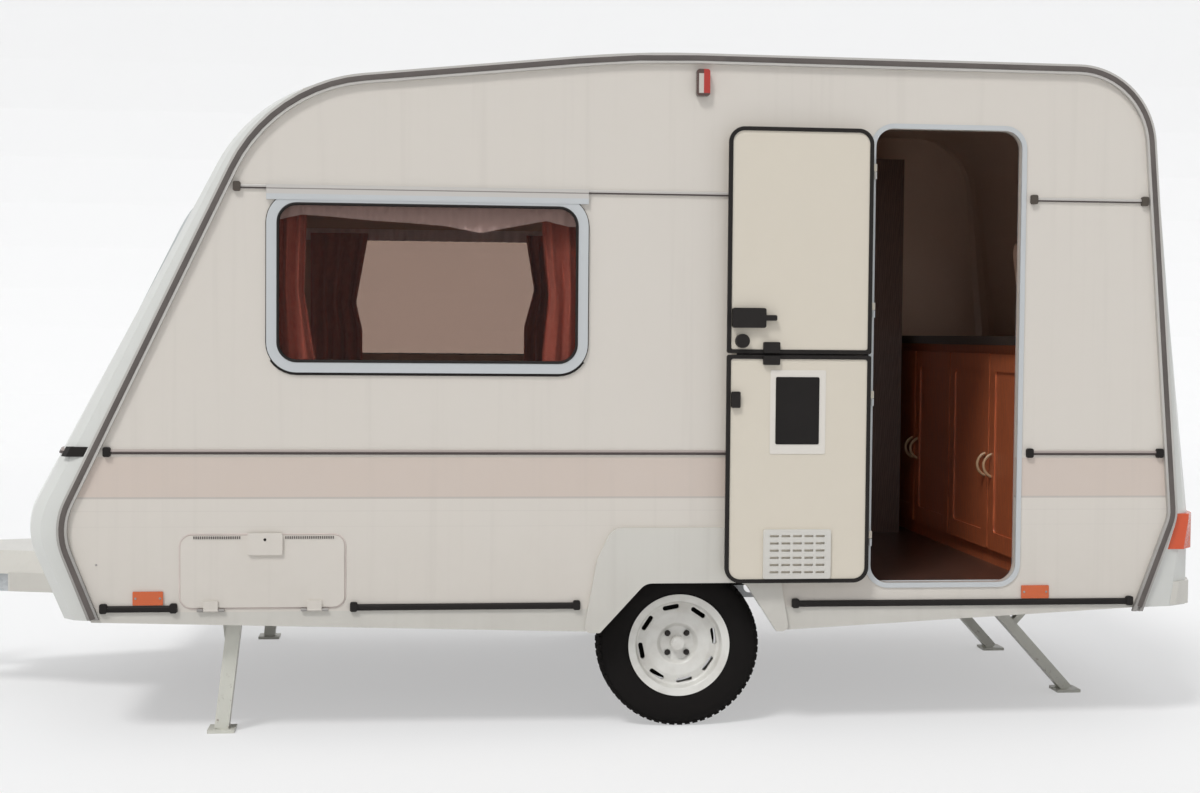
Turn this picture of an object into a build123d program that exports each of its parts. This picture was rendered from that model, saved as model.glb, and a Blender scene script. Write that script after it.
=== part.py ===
from build123d import *
from math import atan2, cos, degrees, hypot, radians, sin, tan
import os

# Touring caravan, two berths, about fourteen feet of body on one axle.
# X runs forward to the tow ball, Y to the nearside (the door side), Z up from the ground.
# X = 0 is half way along the whole length, Y = 0 the centre plane. All sizes in millimetres.

# Body shell
HALF_WIDTH = 1050
WALL = 28
CUT_ROOM = 150
FLOOR_UNDERSIDE = 492
FLOOR_TOP = 530
WALL_FOOT = 448
CORNER_DEPTH = 130
FRONT_BOW = 22

# Corners of the side outline, met in order from the front foot over the roof to the rear foot.
# x, z, radius: the corner at the awning rail; out_x: how much further out the end panel is
# at the middle of the caravan
SIDE_OUTLINE = (
    (1288, 420, 0, 118),
    (1416, 746, 240, 130),
    (672, 2301, 580, 52),
    (-620, 2434, 4000, 0),
    (-2513, 2427, 295, -22),
    (-2646, 775, 150, -90),
    (-2522, 437, 0, -232),
)
FRONT_SPLIT_X = 350
REAR_SPLIT_X = -2236
FRONT_WRAP_X = 560
REAR_WRAP_X = -2400

# Doorway and the two door leaves, hinged on its front edge and folded open against the wall
DOORWAY_FRONT_X = -1490
DOORWAY_WIDTH = 546
DOORWAY_BOTTOM = 535
DOORWAY_TOP = 2188
DOORWAY_RADIUS = 66
DOOR_GAP = 10
DOOR_SPLIT_Z = 1368
DOOR_SPLIT_GAP = 6
DOOR_THICK = 28
DOOR_PROUD = 4
DOOR_SEAL = 14
HINGE_OUT = 16
HINGE_RADIUS = 7
HINGE_HEIGHT = 54
HINGE_LEVELS = (700, 1210, 1530, 2030)
FRAME_LIP = 18
FRAME_PROUD = 5

# Side window, the same on both sides
WINDOW_X = 119
WINDOW_Z = 1607
WINDOW_WIDTH = 1050
WINDOW_HEIGHT = 550
WINDOW_RADIUS = 65
WINDOW_FRAME = 40
FRAME_INSET = 10
FRAME_OUT = 12
PANE_THICK = 12
PANE_INSET = 4

# Front windows: y of the middle, width
FRONT_WINDOWS = ((-585, 380), (0, 600), (585, 380))
FRONT_WINDOW_Z = 1620
FRONT_WINDOW_HEIGHT = 520
REAR_WINDOW_Z = 1640
REAR_WINDOW_WIDTH = 1150
REAR_WINDOW_HEIGHT = 480

# Locker door in the nearside wall, hinged along its bottom edge
LOCKER_FRONT_X = 985
LOCKER_WIDTH = 580
LOCKER_BOTTOM = 458
LOCKER_HEIGHT = 266
LOCKER_RADIUS = 45
LOCKER_GAP = 6
LOCKER_THICK = 18

# Trim along the sides
RAIL_WIDTH = 36
RAIL_EDGE = 6
RAIL_OUT = 16
UPPER_STRIP_Z = 1940
BELT_STRIP_Z = 1011
RUB_STRIP_Z = 461
STRIP_HEIGHT = 16
STRIP_OUT = 8
RUB_HEIGHT = 22
RUB_OUT = 12
CAP_LENGTH = 26
CAP_HEIGHT = 34
CAP_OUT = 14

RAIL_FOOT = 424
RAIL_GROOVE = 10
RAIL_GROOVE_IN = 7
BAND_HALF = HALF_WIDTH - 4
SKIRT_SHEET = 14
SPAT_OUT = 14
WELL_INNER_Y = HALF_WIDTH - 260
WELL_TOP = 650
WELL_SHEET = 8
HINGE_SIDE = 6
SEAL_OUT = 4
VENT_BOTTOM = 561
VENT_ROWS = 6
VENT_COLUMNS = 5

# Running gear
AXLE_X = -800
TYRE_RADIUS = 298
TYRE_WIDTH = 165
TRACK_HALF = HALF_WIDTH - 150
RIM_RADIUS = 187
RIM_FLANGE = 4
RIM_SEAT = 165
RIM_SLOTS = 8
SLOT_RADIUS = 136
SLOT_WIDTH = 17
SLOT_SPAN = 26
ARM_LENGTH = 150
AXLE_TUBE_RADIUS = 42
ARCH_TOP = 540

# Chassis and drawbar
CHASSIS_HALF = 560
CHASSIS_HEIGHT = 84
CHASSIS_FLANGE = 50
CHASSIS_WEB = 6
CHASSIS_REAR_X = -2560
CROSS_MEMBERS = (-1995, -1300, -250, 560)
CROSS_MEMBER_WIDTH = 40
LIGHTENING_HOLES = (-1920, -1740, -1560, -1140, -200, 0, 200, 400)
LIGHTENING_RADIUS = 24
DRAWBAR_START_X = 700
DRAWBAR_LENGTH = 1780
DRAWBAR_TIP_HALF = 55
TIP_PLATE = 190
ARM_Y = TRACK_HALF - 140
ARM_HALF = 16

# Tow coupling, handbrake lever and fairing
COUPLING_REACH = 180
BALL_Z = 432
BALL_RADIUS = 25.5
SOCKET_DEPTH = 34
OVERRUN_RADIUS = 24
GAITER_FOLDS = 6
GAITER_PITCH = 16
GAITER_RADIUS = 38
LEVER_SIDE = 43
LEVER_RADIUS = 10
GRIP_RADIUS = 16
FAIRING_HALF = 420
FAIRING_LENGTH = 630
FAIRING_TIP_HALF = 200
FAIRING_BREAK_Z = 480
FAIRING_TOP = 560
FAIRING_SLOPE = 90
FAIRING_SKIRT_X = 1752
FAIRING_SKIRT_LOW = 412
MEMBER_ROOM = 8
FAIRING_SHEET = 6
DRUM_WIDTH = 60
DRUM_RADIUS = 112
STUB_RADIUS = 16

# Corner steadies: name, hinge x, y of the leg, foot x, depth of the leg, length of the strut,
# and how far the base goes on past the screw's travel
STEADY_FRONT_Y = HALF_WIDTH - 120
STEADY_REAR_Y = 455
STEADIES = (
    ("front_nearside", 800, STEADY_FRONT_Y, 850, 50, 170, 68),
    ("front_offside", 800, -STEADY_FRONT_Y, 850, 50, 170, 68),
    ("rear_nearside", -2080, STEADY_REAR_Y, -2470, 40, 230, 60),
    ("rear_offside", -2080, -STEADY_REAR_Y, -2470, 40, 230, 60),
)
STEADY_HINGE_Z = 440
STEADY_PIN = 7
PIN_CLEARANCE = 0.3
STEADY_BASE_BACK = 60
BASE_HALF = 42
BASE_SHEET = 5
LEG_WIDTH = 60
LEG_SHEET = 5
STRUT_HALF = 18
STRUT_SHEET = 5
STRUT_END = 12
SCREW_RADIUS = 8
SCREW_END = 14
FOOT_HALF = 48
FOOT_THICK = 12

# Jockey wheel
JOCKEY_BACK = 280
JOCKEY_SIDE = 72
JOCKEY_TUBE = 30
JOCKEY_STEM = 24
CLAMP_HALF = 30
CRANK_RADIUS = 8
CRANK_REACH = 120
JOCKEY_WHEEL_RADIUS = 105
JOCKEY_WHEEL_WIDTH = 62
JOCKEY_TRAIL = 55

JOCKEY_TUBE_LOW = 300
JOCKEY_TUBE_TOP = 700

# Lamps, vents and furniture
REFLECTORS = (1091, -2113)
REFLECTOR_LOW = 474
REFLECTOR_HIGH = 522
MARKER_X = -852
MARKER_WIDTH = 48
MARKER_LOW = 2287
MARKER_HIGH = 2382
REAR_LAMP_Y = (HALF_WIDTH - 250, HALF_WIDTH - 6)
BUMPER_HALF = HALF_WIDTH - 20
BUMPER_LOW = 442
BUMPER_HIGH = 528
BUMPER_OUT = 10
REAR_LAMP_LOW = 652
REAR_LAMP_HIGH = 785
REAR_LAMP_OUT = 14
FRIDGE_VENTS = (760, 1140)
KITCHEN_X = -2130
WORKTOP_TOP = 1440
WORKTOP_THICK = 35
WORKTOP_OVER = 40
PULL_LOW = 880
PULL_HIGH = 970
PULL_REACH = 34
PULL_RADIUS = 6
KITCHEN_DOORS = 4
WARDROBE_GAP = 70
WARDROBE_FRONT_X = -1480
WARDROBE_FACE_Y = -560
WARDROBE_TOP = 2250
BENCH_REAR_X = -430
BENCH_FRONT_X = 860
BENCH_IN_Y = 480
SEAT_FRONT_X = 1270
BACK_FRONT_X = 1000
BENCH_TOP = 800
SEAT_THICK = 110
BACK_TOP = 1290
BACK_THICK = 120
CUSHION_GAP = 3
CURTAIN_Y = HALF_WIDTH - 60

# Roof light
ROOF_LIGHT_X = -900
ROOF_LIGHT_SIZE = 430
ROOF_LIGHT_LID = 46
KERB_SHEET = 8
KERB_FLANGE = 30
KERB_HEIGHT = 22
LID_GAP = 6
LID_OVER = 34
LID_SHEET = 4
LID_PIN = 4
LID_HINGES = (-150, 150)

drawbar_tip_x = DRAWBAR_START_X + DRAWBAR_LENGTH
ball_x = drawbar_tip_x + COUPLING_REACH

os.makedirs("parts", exist_ok=True)


def save(name, shape):
    export_step(shape, f"parts/{name}.step")


def block(x0, x1, y0, y1, z0, z1):
    """Box between two corners"""
    return Pos((x0 + x1) / 2, (y0 + y1) / 2, (z0 + z1) / 2) * Box(abs(x1 - x0), abs(y1 - y0), abs(z1 - z0))


def rod(start, end, radius):
    """Round bar between two points"""
    a, b = Vector(*start), Vector(*end)
    return extrude(Plane(a, z_dir=b - a) * Circle(radius), amount=(b - a).length)


def outline(corners, place):
    """Face inside straight lines with rounded corners: each corner is (u, v, radius)"""
    edges = []
    count = len(corners)
    joints = []
    for i in range(count):
        u, v, radius = corners[i]
        before, after = corners[i - 1], corners[(i + 1) % count]
        a = Vector(before[0] - u, before[1] - v).normalized()
        b = Vector(after[0] - u, after[1] - v).normalized()
        if radius <= 0:
            joints.append(((u, v), None, (u, v)))
            continue
        half = radians(a.get_angle(b)) / 2
        reach = radius / tan(half)
        middle = (a + b).normalized() * (radius / sin(half) - radius)
        joints.append(((u + a.X * reach, v + a.Y * reach), (u + middle.X, v + middle.Y),
                       (u + b.X * reach, v + b.Y * reach)))
    for i in range(count):
        start, bend, end = joints[i]
        if bend:
            edges.append(Edge.make_three_point_arc(place(*start), place(*bend), place(*end)))
        following = joints[(i + 1) % count][0]
        if hypot(following[0] - end[0], following[1] - end[1]) > 0.01:
            edges.append(Edge.make_line(place(*end), place(*following)))
    return Wire(edges)


def across(corners, y0, y1):
    """Outline in the side view (x, z, radius), extruded from y0 to y1"""
    face = Face(outline(corners, lambda u, v: (u, y0, v)))
    return extrude(face, amount=y1 - y0, dir=(0, 1, 0))


def along(corners, x0, x1):
    """Outline in the end view (y, z, radius), extruded from x0 to x1"""
    face = Face(outline(corners, lambda u, v: (x0, u, v)))
    return extrude(face, amount=x1 - x0, dir=(1, 0, 0))


def upward(corners, z0, z1):
    """Outline in the plan view (x, y, radius), extruded from z0 to z1"""
    face = Face(outline(corners, lambda u, v: (u, v, z0)))
    return extrude(face, amount=z1 - z0, dir=(0, 0, 1))


def panel(u0, u1, v0, v1, radius=0):
    """Corners of a rounded rectangle"""
    return ((u0, v0, radius), (u1, v0, radius), (u1, v1, radius), (u0, v1, radius))


def grown(corners, amount):
    """The same rounded rectangle, larger all round"""
    (u0, v0, radius), (u1, v1, _) = corners[0], corners[2]
    return panel(u0 - amount, u1 + amount, v0 - amount, v1 + amount, max(radius + amount, 1))


def inset(corners, amount):
    """Outline moved inwards by an amount; its arcs lose or gain that much radius"""
    moved = []
    count = len(corners)
    for i in range(count):
        (u0, v0, _), (u1, v1, radius), (u2, v2, _) = corners[i - 1], corners[i], corners[(i + 1) % count]
        a = Vector(u1 - u0, v1 - v0).normalized()
        b = Vector(u2 - u1, v2 - v1).normalized()
        turn = a.X * b.Y - a.Y * b.X
        shift = amount * tan(atan2(turn, a.X * b.X + a.Y * b.Y) / 2)
        moved.append((u1 - a.Y * amount - a.X * shift, v1 + a.X * amount - a.Y * shift,
                      max(radius - amount, 0) if radius else 0))
    return tuple(moved)


def side_corners(share, bow=0):
    """Side outline with a share, 0 to 1, of what the end panels stand further out"""
    corners = []
    for x, z, radius, out in SIDE_OUTLINE:
        corners.append((x + out * share + (bow if out > 0 else -bow if out < 0 else 0), z, radius))
    return corners


def hull(shrink, floor):
    """Closed body form between both sides, moved inwards by shrink and cut off at a floor level"""
    half = HALF_WIDTH - shrink
    depth = CORNER_DEPTH - shrink
    sections = []
    for angle in (0, 30, 60, 90):
        share = sin(radians(angle))
        y = half - depth * (1 - cos(radians(angle)))
        sections.append((y, share, 0))
    middle = ((half - depth, 1, 0), (0, 1, FRONT_BOW), (depth - half, 1, 0))

    def loft_of(rows, smooth):
        wires = [outline(level(inset(side_corners(share, bow), shrink), floor), lambda u, v, y=y: (u, y, v))
                 for y, share, bow in rows]
        return Solid.make_loft(wires, ruled=not smooth)

    near = loft_of(sections, False)
    far = loft_of([(-y, share, bow) for y, share, bow in reversed(sections)], False)
    return loft_of(middle, False) + near + far


def level(corners, floor):
    """Outline whose first and last corner slide along their edges to the floor level"""
    if floor is None:
        return corners
    first, second = corners[0], corners[1]
    last, above = corners[-1], corners[-2]
    slope_front = (second[0] - first[0]) / (second[1] - first[1])
    slope_rear = (above[0] - last[0]) / (above[1] - last[1])
    start = (first[0] + (floor - first[1]) * slope_front, floor, 0)
    end = (last[0] + (floor - last[1]) * slope_rear, floor, 0)
    return (start, *corners[1:-1], end)


def mirrored(shape):
    """The same piece on the other side of the centre plane"""
    return mirror(shape, about=Plane.XZ)



side_glass = panel(WINDOW_X - WINDOW_WIDTH / 2, WINDOW_X + WINDOW_WIDTH / 2,
                   WINDOW_Z - WINDOW_HEIGHT / 2, WINDOW_Z + WINDOW_HEIGHT / 2, WINDOW_RADIUS)
side_frame = grown(side_glass, WINDOW_FRAME)
doorway_rear_x = DOORWAY_FRONT_X - DOORWAY_WIDTH
doorway = panel(doorway_rear_x, DOORWAY_FRONT_X, DOORWAY_BOTTOM, DOORWAY_TOP, DOORWAY_RADIUS)
locker_rear_x = LOCKER_FRONT_X - LOCKER_WIDTH
locker_hole = panel(locker_rear_x, LOCKER_FRONT_X, LOCKER_BOTTOM, LOCKER_BOTTOM + LOCKER_HEIGHT,
                    LOCKER_RADIUS)
arch = ((-441, 300, 0), (-662, ARCH_TOP, 55), (-1027, ARCH_TOP, 55), (-1183, 300, 0))
spat = ((-438, 362, 24), (-487, 628, 70), (-540, 740, 55), (-1088, 740, 55), (-1141, 628, 70),
        (-1190, 362, 24))
through_wall = (HALF_WIDTH - CUT_ROOM, HALF_WIDTH + CUT_ROOM)
full_width = (-through_wall[1], through_wall[1])


def side_wall():
    plate = across(side_corners(0), HALF_WIDTH - WALL, HALF_WIDTH + 10)
    plate &= block(-4000, 4000, 0, HALF_WIDTH, WALL_FOOT, 4000)
    plate -= across(side_glass, *through_wall)
    plate -= across(side_frame, HALF_WIDTH - FRAME_INSET, through_wall[1])
    plate -= across(arch, *through_wall)
    return plate


near_wall = side_wall()
near_wall -= across(doorway, *through_wall)
near_wall -= across(locker_hole, *through_wall)
far_wall = mirrored(side_wall())
save("side_wall_nearside", near_wall)
save("side_wall_offside", far_wall)

outer = hull(0, None)
inner = hull(WALL, 300)
shell = outer - inner
side_form = across(side_corners(0), HALF_WIDTH - WALL, HALF_WIDTH + 10)


def without_side_plates(piece, x_in, x_turn, x_out):
    """End panel without the room of the side walls; it wraps round them only past x_turn"""
    plate = side_form & block(x_turn, x_out, 0, 2000, 0, 3000)
    plate += block(x_in, x_turn, HALF_WIDTH - WALL, HALF_WIDTH + 10, 0, 3000)
    return piece - plate - mirrored(plate)


full = side_corners(1)
front_foot, front_top = full[1], full[2]
rear_top, rear_foot = full[4], full[5]


def end_plane(low, high, z, y, bow, outward):
    """Plane lying on an end panel at height z: x axis across, y axis up, z axis outwards"""
    share = (z - low[1]) / (high[1] - low[1])
    x = low[0] + (high[0] - low[0]) * share
    up = Vector(high[0] - low[0], 0, high[1] - low[1]).normalized()
    normal = Vector(up.Z, 0, -up.X) * outward
    half = HALF_WIDTH - CORNER_DEPTH
    bulge = outward * bow * (1 - abs(y) / half)
    yaw = atan2(bow, half) * (0 if y == 0 else 1 if y > 0 else -1)
    across_dir = Vector(0, outward, 0)
    base = Plane(Vector(x + bulge, y, z), x_dir=across_dir, z_dir=normal)
    return base.rotated((0, degrees(yaw), 0)) if yaw else base


def on_plane(plane, corners, low, high):
    """Rounded outline drawn on a plane, extruded between two heights above it"""
    face = Face(outline(corners, lambda u, v: tuple(plane.from_local_coords(Vector(u, v, low)))))
    return extrude(face, amount=high - low, dir=plane.z_dir)


def window_unit(plane, width, height):
    """Cut-out, frame ring and pane of a window on an end panel"""
    glass = panel(-width / 2, width / 2, -height / 2, height / 2, WINDOW_RADIUS)
    ring = grown(glass, WINDOW_FRAME)
    seat = on_plane(plane, ring, -FRAME_INSET, FRAME_OUT)
    through = on_plane(plane, glass, -80, 60)
    frame = seat - through
    pane = on_plane(plane, glass, -PANE_INSET, PANE_THICK - PANE_INSET)
    return seat + on_plane(plane, glass, -80, 0), frame, pane


end_frames = []
end_panes = []
for y, width in FRONT_WINDOWS:
    place = end_plane(front_foot, front_top, FRONT_WINDOW_Z, y, FRONT_BOW, 1)
    cut, frame, pane = window_unit(place, width, FRONT_WINDOW_HEIGHT)
    shell -= cut
    end_frames.append(frame)
    end_panes.append(pane)
place = end_plane(rear_foot, rear_top, REAR_WINDOW_Z, 0, FRONT_BOW, -1)
cut, rear_frame, rear_pane = window_unit(place, REAR_WINDOW_WIDTH, REAR_WINDOW_HEIGHT)
shell -= cut

roof_light_hole = block(ROOF_LIGHT_X - ROOF_LIGHT_SIZE / 2, ROOF_LIGHT_X + ROOF_LIGHT_SIZE / 2,
                        -ROOF_LIGHT_SIZE / 2, ROOF_LIGHT_SIZE / 2, 2200, 2700)
slab = block(REAR_SPLIT_X, FRONT_SPLIT_X, WALL - HALF_WIDTH, HALF_WIDTH - WALL, 1500, 3000)
roof_panel = (shell & slab) - roof_light_hole
front_panel = without_side_plates(shell & block(FRONT_SPLIT_X, 3000, *full_width, 0, 3000),
                                  FRONT_SPLIT_X - 5, FRONT_WRAP_X, 3000)
rear_panel = without_side_plates(shell & block(-4000, REAR_SPLIT_X, *full_width, 0, 3000),
                                 REAR_SPLIT_X + 5, REAR_WRAP_X, -4000)
save("roof_panel", roof_panel)
save("rear_panel", rear_panel)

floor_panel = inner & block(-4000, 3000, *full_width, FLOOR_UNDERSIDE, FLOOR_TOP)
well_x0, well_x1 = spat[5][0], spat[0][0]
for side in (1, -1):
    floor_panel -= block(well_x0, well_x1, side * WELL_INNER_Y, side * through_wall[1], 300, 600)
save("floor_panel", floor_panel)

wells = []
well = block(well_x0, well_x1, WELL_INNER_Y, HALF_WIDTH - WALL, FLOOR_UNDERSIDE, WELL_TOP)
well -= block(well_x0 + WELL_SHEET, well_x1 - WELL_SHEET, WELL_INNER_Y + WELL_SHEET, through_wall[1],
              300, WELL_TOP - WELL_SHEET)
save("wheel_boxes", Compound([well, mirrored(well)]))

# Windows
near_frame = across(side_frame, HALF_WIDTH - FRAME_INSET, HALF_WIDTH + FRAME_OUT)
near_frame += block(side_frame[0][0], side_frame[1][0], HALF_WIDTH, HALF_WIDTH + FRAME_OUT + 2,
                    side_frame[2][1] - 26, UPPER_STRIP_Z + STRIP_HEIGHT / 2)
near_frame -= across(side_glass, *through_wall)
near_pane = across(side_glass, HALF_WIDTH - PANE_INSET, HALF_WIDTH - PANE_INSET + PANE_THICK)
save("window_frames", Compound([near_frame, mirrored(near_frame), *end_frames, rear_frame]))
save("window_panes", Compound([near_pane, mirrored(near_pane), *end_panes, rear_pane]))

# Awning rail round the edge of each side
rail_outer = level(inset(side_corners(0), -RAIL_EDGE), RAIL_FOOT)
rail_inner = level(inset(side_corners(0), RAIL_WIDTH - RAIL_EDGE), 300)
groove_outer = level(inset(side_corners(0), RAIL_GROOVE_IN), 300)
groove_inner = level(inset(side_corners(0), RAIL_GROOVE_IN + RAIL_GROOVE), 300)
rail = across(rail_outer, HALF_WIDTH, HALF_WIDTH + RAIL_OUT) - across(rail_inner, *through_wall)
groove = across(groove_outer, HALF_WIDTH + RAIL_OUT - 6, through_wall[1])
rail -= groove - across(groove_inner, *through_wall)
save("awning_rails", Compound([rail, mirrored(rail)]))

# Trim strips: front x, rear x, z, on the nearside, on the offside, cap in front, cap behind
strip_stop = DOORWAY_FRONT_X + FRAME_LIP + 14
frame_x0, frame_x1 = side_frame[0][0], side_frame[1][0]
STRIP_RUNS = (
    (799, frame_x1 + 1, UPPER_STRIP_Z, True, True, True, False),
    (frame_x0 - 1, strip_stop, UPPER_STRIP_Z, True, False, False, True),
    (doorway_rear_x - 34, -2517, UPPER_STRIP_Z, True, False, True, True),
    (frame_x0 - 1, -2517, UPPER_STRIP_Z, False, True, False, True),
    (1243, strip_stop, BELT_STRIP_Z, True, False, True, True),
    (doorway_rear_x - 34, -2593, BELT_STRIP_Z, True, False, True, True),
    (1243, -2593, BELT_STRIP_Z, False, True, True, True),
)
RUB_RUNS = (
    (1256, 990, True, False),
    (391, -427, True, False),
    (-1200, -2487, True, True),
    (1256, -427, False, True),
)


def strip_run(x_front, x_rear, z, height, out):
    """Flat rail with bevelled long edges, on the nearside wall"""
    bevel = out / 2
    low, high, face = z - height / 2, z + height / 2, HALF_WIDTH
    section = ((face, low, 0), (face + out - bevel / 2, low, 0), (face + out, low + bevel, 0),
               (face + out, high - bevel, 0), (face + out - bevel / 2, high, 0), (face, high, 0))
    return along(section, x_rear, x_front)


def end_cap(x, z, inward):
    """Moulded end cap, from x inwards along the strip"""
    x0, x1 = sorted((x, x - CAP_LENGTH * inward))
    cap = across(panel(x0, x1, z - CAP_HEIGHT / 2, z + CAP_HEIGHT / 2, 7), HALF_WIDTH, HALF_WIDTH + CAP_OUT)
    return cap


strips, caps, rubs = [], [], []
for x_front, x_rear, z, near, far, front_cap, rear_cap in STRIP_RUNS:
    run = strip_run(x_front - CAP_LENGTH * front_cap, x_rear + CAP_LENGTH * rear_cap, z,
                    STRIP_HEIGHT, STRIP_OUT)
    ends = [end_cap(x_front, z, 1)] * front_cap + [end_cap(x_rear, z, -1)] * rear_cap
    if near:
        strips.append(run)
        caps += ends
    if far:
        strips.append(mirrored(run))
        caps += [mirrored(end) for end in ends]
for x_front, x_rear, near, far in RUB_RUNS:
    run = strip_run(x_front, x_rear, RUB_STRIP_Z, RUB_HEIGHT, RUB_OUT)
    run += end_cap(x_front, RUB_STRIP_Z + 2, 1) + end_cap(x_rear, RUB_STRIP_Z + 2, -1)
    if near:
        rubs.append(run)
    if far:
        rubs.append(mirrored(run))
band_low, band_high = BELT_STRIP_Z - STRIP_HEIGHT / 2, BELT_STRIP_Z + STRIP_HEIGHT / 2
cap_low, cap_high = BELT_STRIP_Z - CAP_HEIGHT / 2, BELT_STRIP_Z + CAP_HEIGHT / 2
band_end = BAND_HALF - CAP_LENGTH
strips.append((hull(-STRIP_OUT, 300) - outer) & block(1000, 3000, -band_end, band_end, band_low, band_high))
around = hull(-CAP_OUT, 300) - outer
for side in (-1, 1):
    caps.append(around & block(1000, 3000, side * band_end, side * BAND_HALF, cap_low, cap_high))
save("trim_strips", Compound(strips))
save("rub_strips", Compound(rubs + caps))

# Skirt below each side wall, with the moulded spat round the wheel arch
skirt_line = ((1297, WALL_FOOT, 0), (1286, 414, 0), (spat[0][0], 366, 0), (spat[5][0], 366, 0),
              (-2500, 437, 0), (-2505, WALL_FOOT, 0))
skirt = across(tuple(reversed(skirt_line)), HALF_WIDTH - SKIRT_SHEET, HALF_WIDTH)
spat_face = tuple(reversed(spat))
skirt += across(spat_face, HALF_WIDTH, HALF_WIDTH + SPAT_OUT)
skirt += across(spat_face, HALF_WIDTH - SKIRT_SHEET, HALF_WIDTH) & block(-4000, 4000, 0, 2000, 0, WALL_FOOT)
skirt -= across(arch, *through_wall)
skirt -= rear_panel
save("skirts", Compound([skirt, mirrored(skirt)]))

# Doorway trim, hinges and leaves
frame_ring = across(grown(doorway, FRAME_LIP), HALF_WIDTH, HALF_WIDTH + FRAME_PROUD)
frame_ring += across(grown(doorway, FRAME_LIP), HALF_WIDTH - WALL - FRAME_PROUD, HALF_WIDTH - WALL)
frame_ring -= across(doorway, *through_wall)
frame_ring -= block(-4000, 4000, 0, HALF_WIDTH - WALL, 0, FLOOR_TOP)
hinge_x = DOORWAY_FRONT_X + HINGE_SIDE
hinge_y = HALF_WIDTH + HINGE_OUT
for z in HINGE_LEVELS:
    knuckle = rod((hinge_x, hinge_y, z - HINGE_HEIGHT / 2), (hinge_x, hinge_y, z - 1), HINGE_RADIUS)
    knuckle += block(hinge_x - 4, hinge_x + 14, HALF_WIDTH + FRAME_PROUD, hinge_y,
                     z - HINGE_HEIGHT / 2, z - 1)
    frame_ring += knuckle
save("door_frame", frame_ring)


def opened(shape):
    """Piece of a closed leaf, folded right back about the door hinge"""
    return Pos(hinge_x, hinge_y, 0) * (Rot(0, 0, 180) * (Pos(-hinge_x, -hinge_y, 0) * shape))


leaf_outline = grown(doorway, -DOOR_GAP)
leaf_inner_y = HALF_WIDTH + DOOR_PROUD - DOOR_THICK
leaf_outer_y = HALF_WIDTH + DOOR_PROUD
leaf_x0, leaf_z0, _ = leaf_outline[0]
leaf_x1, leaf_z1, _ = leaf_outline[2]


def leaf_part(z0, z1, amount, y0, y1):
    """Part of the leaf between two heights, moved in from its edge all round"""
    x0, x1 = leaf_x0 + amount, leaf_x1 - amount
    low = leaf_z0 if z0 < DOOR_SPLIT_Z - DOOR_SPLIT_GAP else DOOR_SPLIT_Z + DOOR_SPLIT_GAP / 2
    high = DOOR_SPLIT_Z - DOOR_SPLIT_GAP / 2 if low == leaf_z0 else leaf_z1
    round_low = DOORWAY_RADIUS - DOOR_GAP - amount if low == leaf_z0 else 8
    round_high = DOORWAY_RADIUS - DOOR_GAP - amount if high == leaf_z1 else 8
    corners = ((x0, low + amount, round_low), (x1, low + amount, round_low),
               (x1, high - amount, round_high), (x0, high - amount, round_high))
    return across(corners, y0, y1)


def leaf_hinges(levels):
    """Half knuckles of a closed leaf with the arms that carry them"""
    pieces = []
    for z in levels:
        z0, z1 = z + 1, z + HINGE_HEIGHT / 2
        piece = rod((hinge_x, hinge_y, z0), (hinge_x, hinge_y, z1), HINGE_RADIUS)
        piece += block(hinge_x, hinge_x - 40, hinge_y - 7, hinge_y, z0, z1)
        piece += block(hinge_x - 26, hinge_x - 40, leaf_outer_y, hinge_y, z0, z1)
        pieces.append(piece)
    return pieces


seals = []
for name, z0, z1, levels in (("lower", 0, DOOR_SPLIT_Z, HINGE_LEVELS[:2]),
                             ("upper", DOOR_SPLIT_Z, 3000, HINGE_LEVELS[2:])):
    leaf = leaf_part(z0, z1, 4, leaf_inner_y, leaf_outer_y)
    for piece in leaf_hinges(levels):
        leaf += piece
    seal = leaf_part(z0, z1, 0, leaf_inner_y - SEAL_OUT, leaf_inner_y + 10)
    seal -= leaf_part(z0, z1, DOOR_SEAL, *through_wall) + leaf
    seals.append(opened(seal))
    save(f"door_leaf_{name}", opened(leaf))
    save(f"door_seal_{name}", seals[-1])

# Fittings on the inner faces of the leaves, placed on the folded-open door
face_y = 2 * hinge_y - leaf_inner_y
lock = across(panel(-1079, -958, 1462, 1533, 8), face_y, face_y + 22)
lock += across(panel(-1118, -1060, 1488, 1508, 6), face_y + 8, face_y + 24)
lock += Pos(-995, face_y, 1415) * Rot(-90, 0, 0) * extrude(Circle(25), amount=24)
lock += across(panel(-1132, -1072, DOOR_SPLIT_Z + 5, 1412, 5), face_y, face_y + 16)
latch = across(panel(-1132, -1072, 1330, DOOR_SPLIT_Z - 5, 5), face_y, face_y + 16)
latch += across(panel(-990, -958, 1176, 1234, 5), face_y, face_y + 16)
save("door_lock", lock - seals[1])
save("door_latch", latch - seals[0])
vent = across(panel(-1327, -1080, VENT_BOTTOM, VENT_BOTTOM + 178, 8), face_y, face_y + 10)
slots = []
for row in range(VENT_ROWS):
    for column in range(VENT_COLUMNS):
        x = -1304 + column * 42
        z = VENT_BOTTOM + 24 + row * 26
        slots.append(block(x, x + 32, face_y - 5, face_y + 20, z - 4, z + 4))
vent -= Compound(slots)
save("door_vent", vent)

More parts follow.
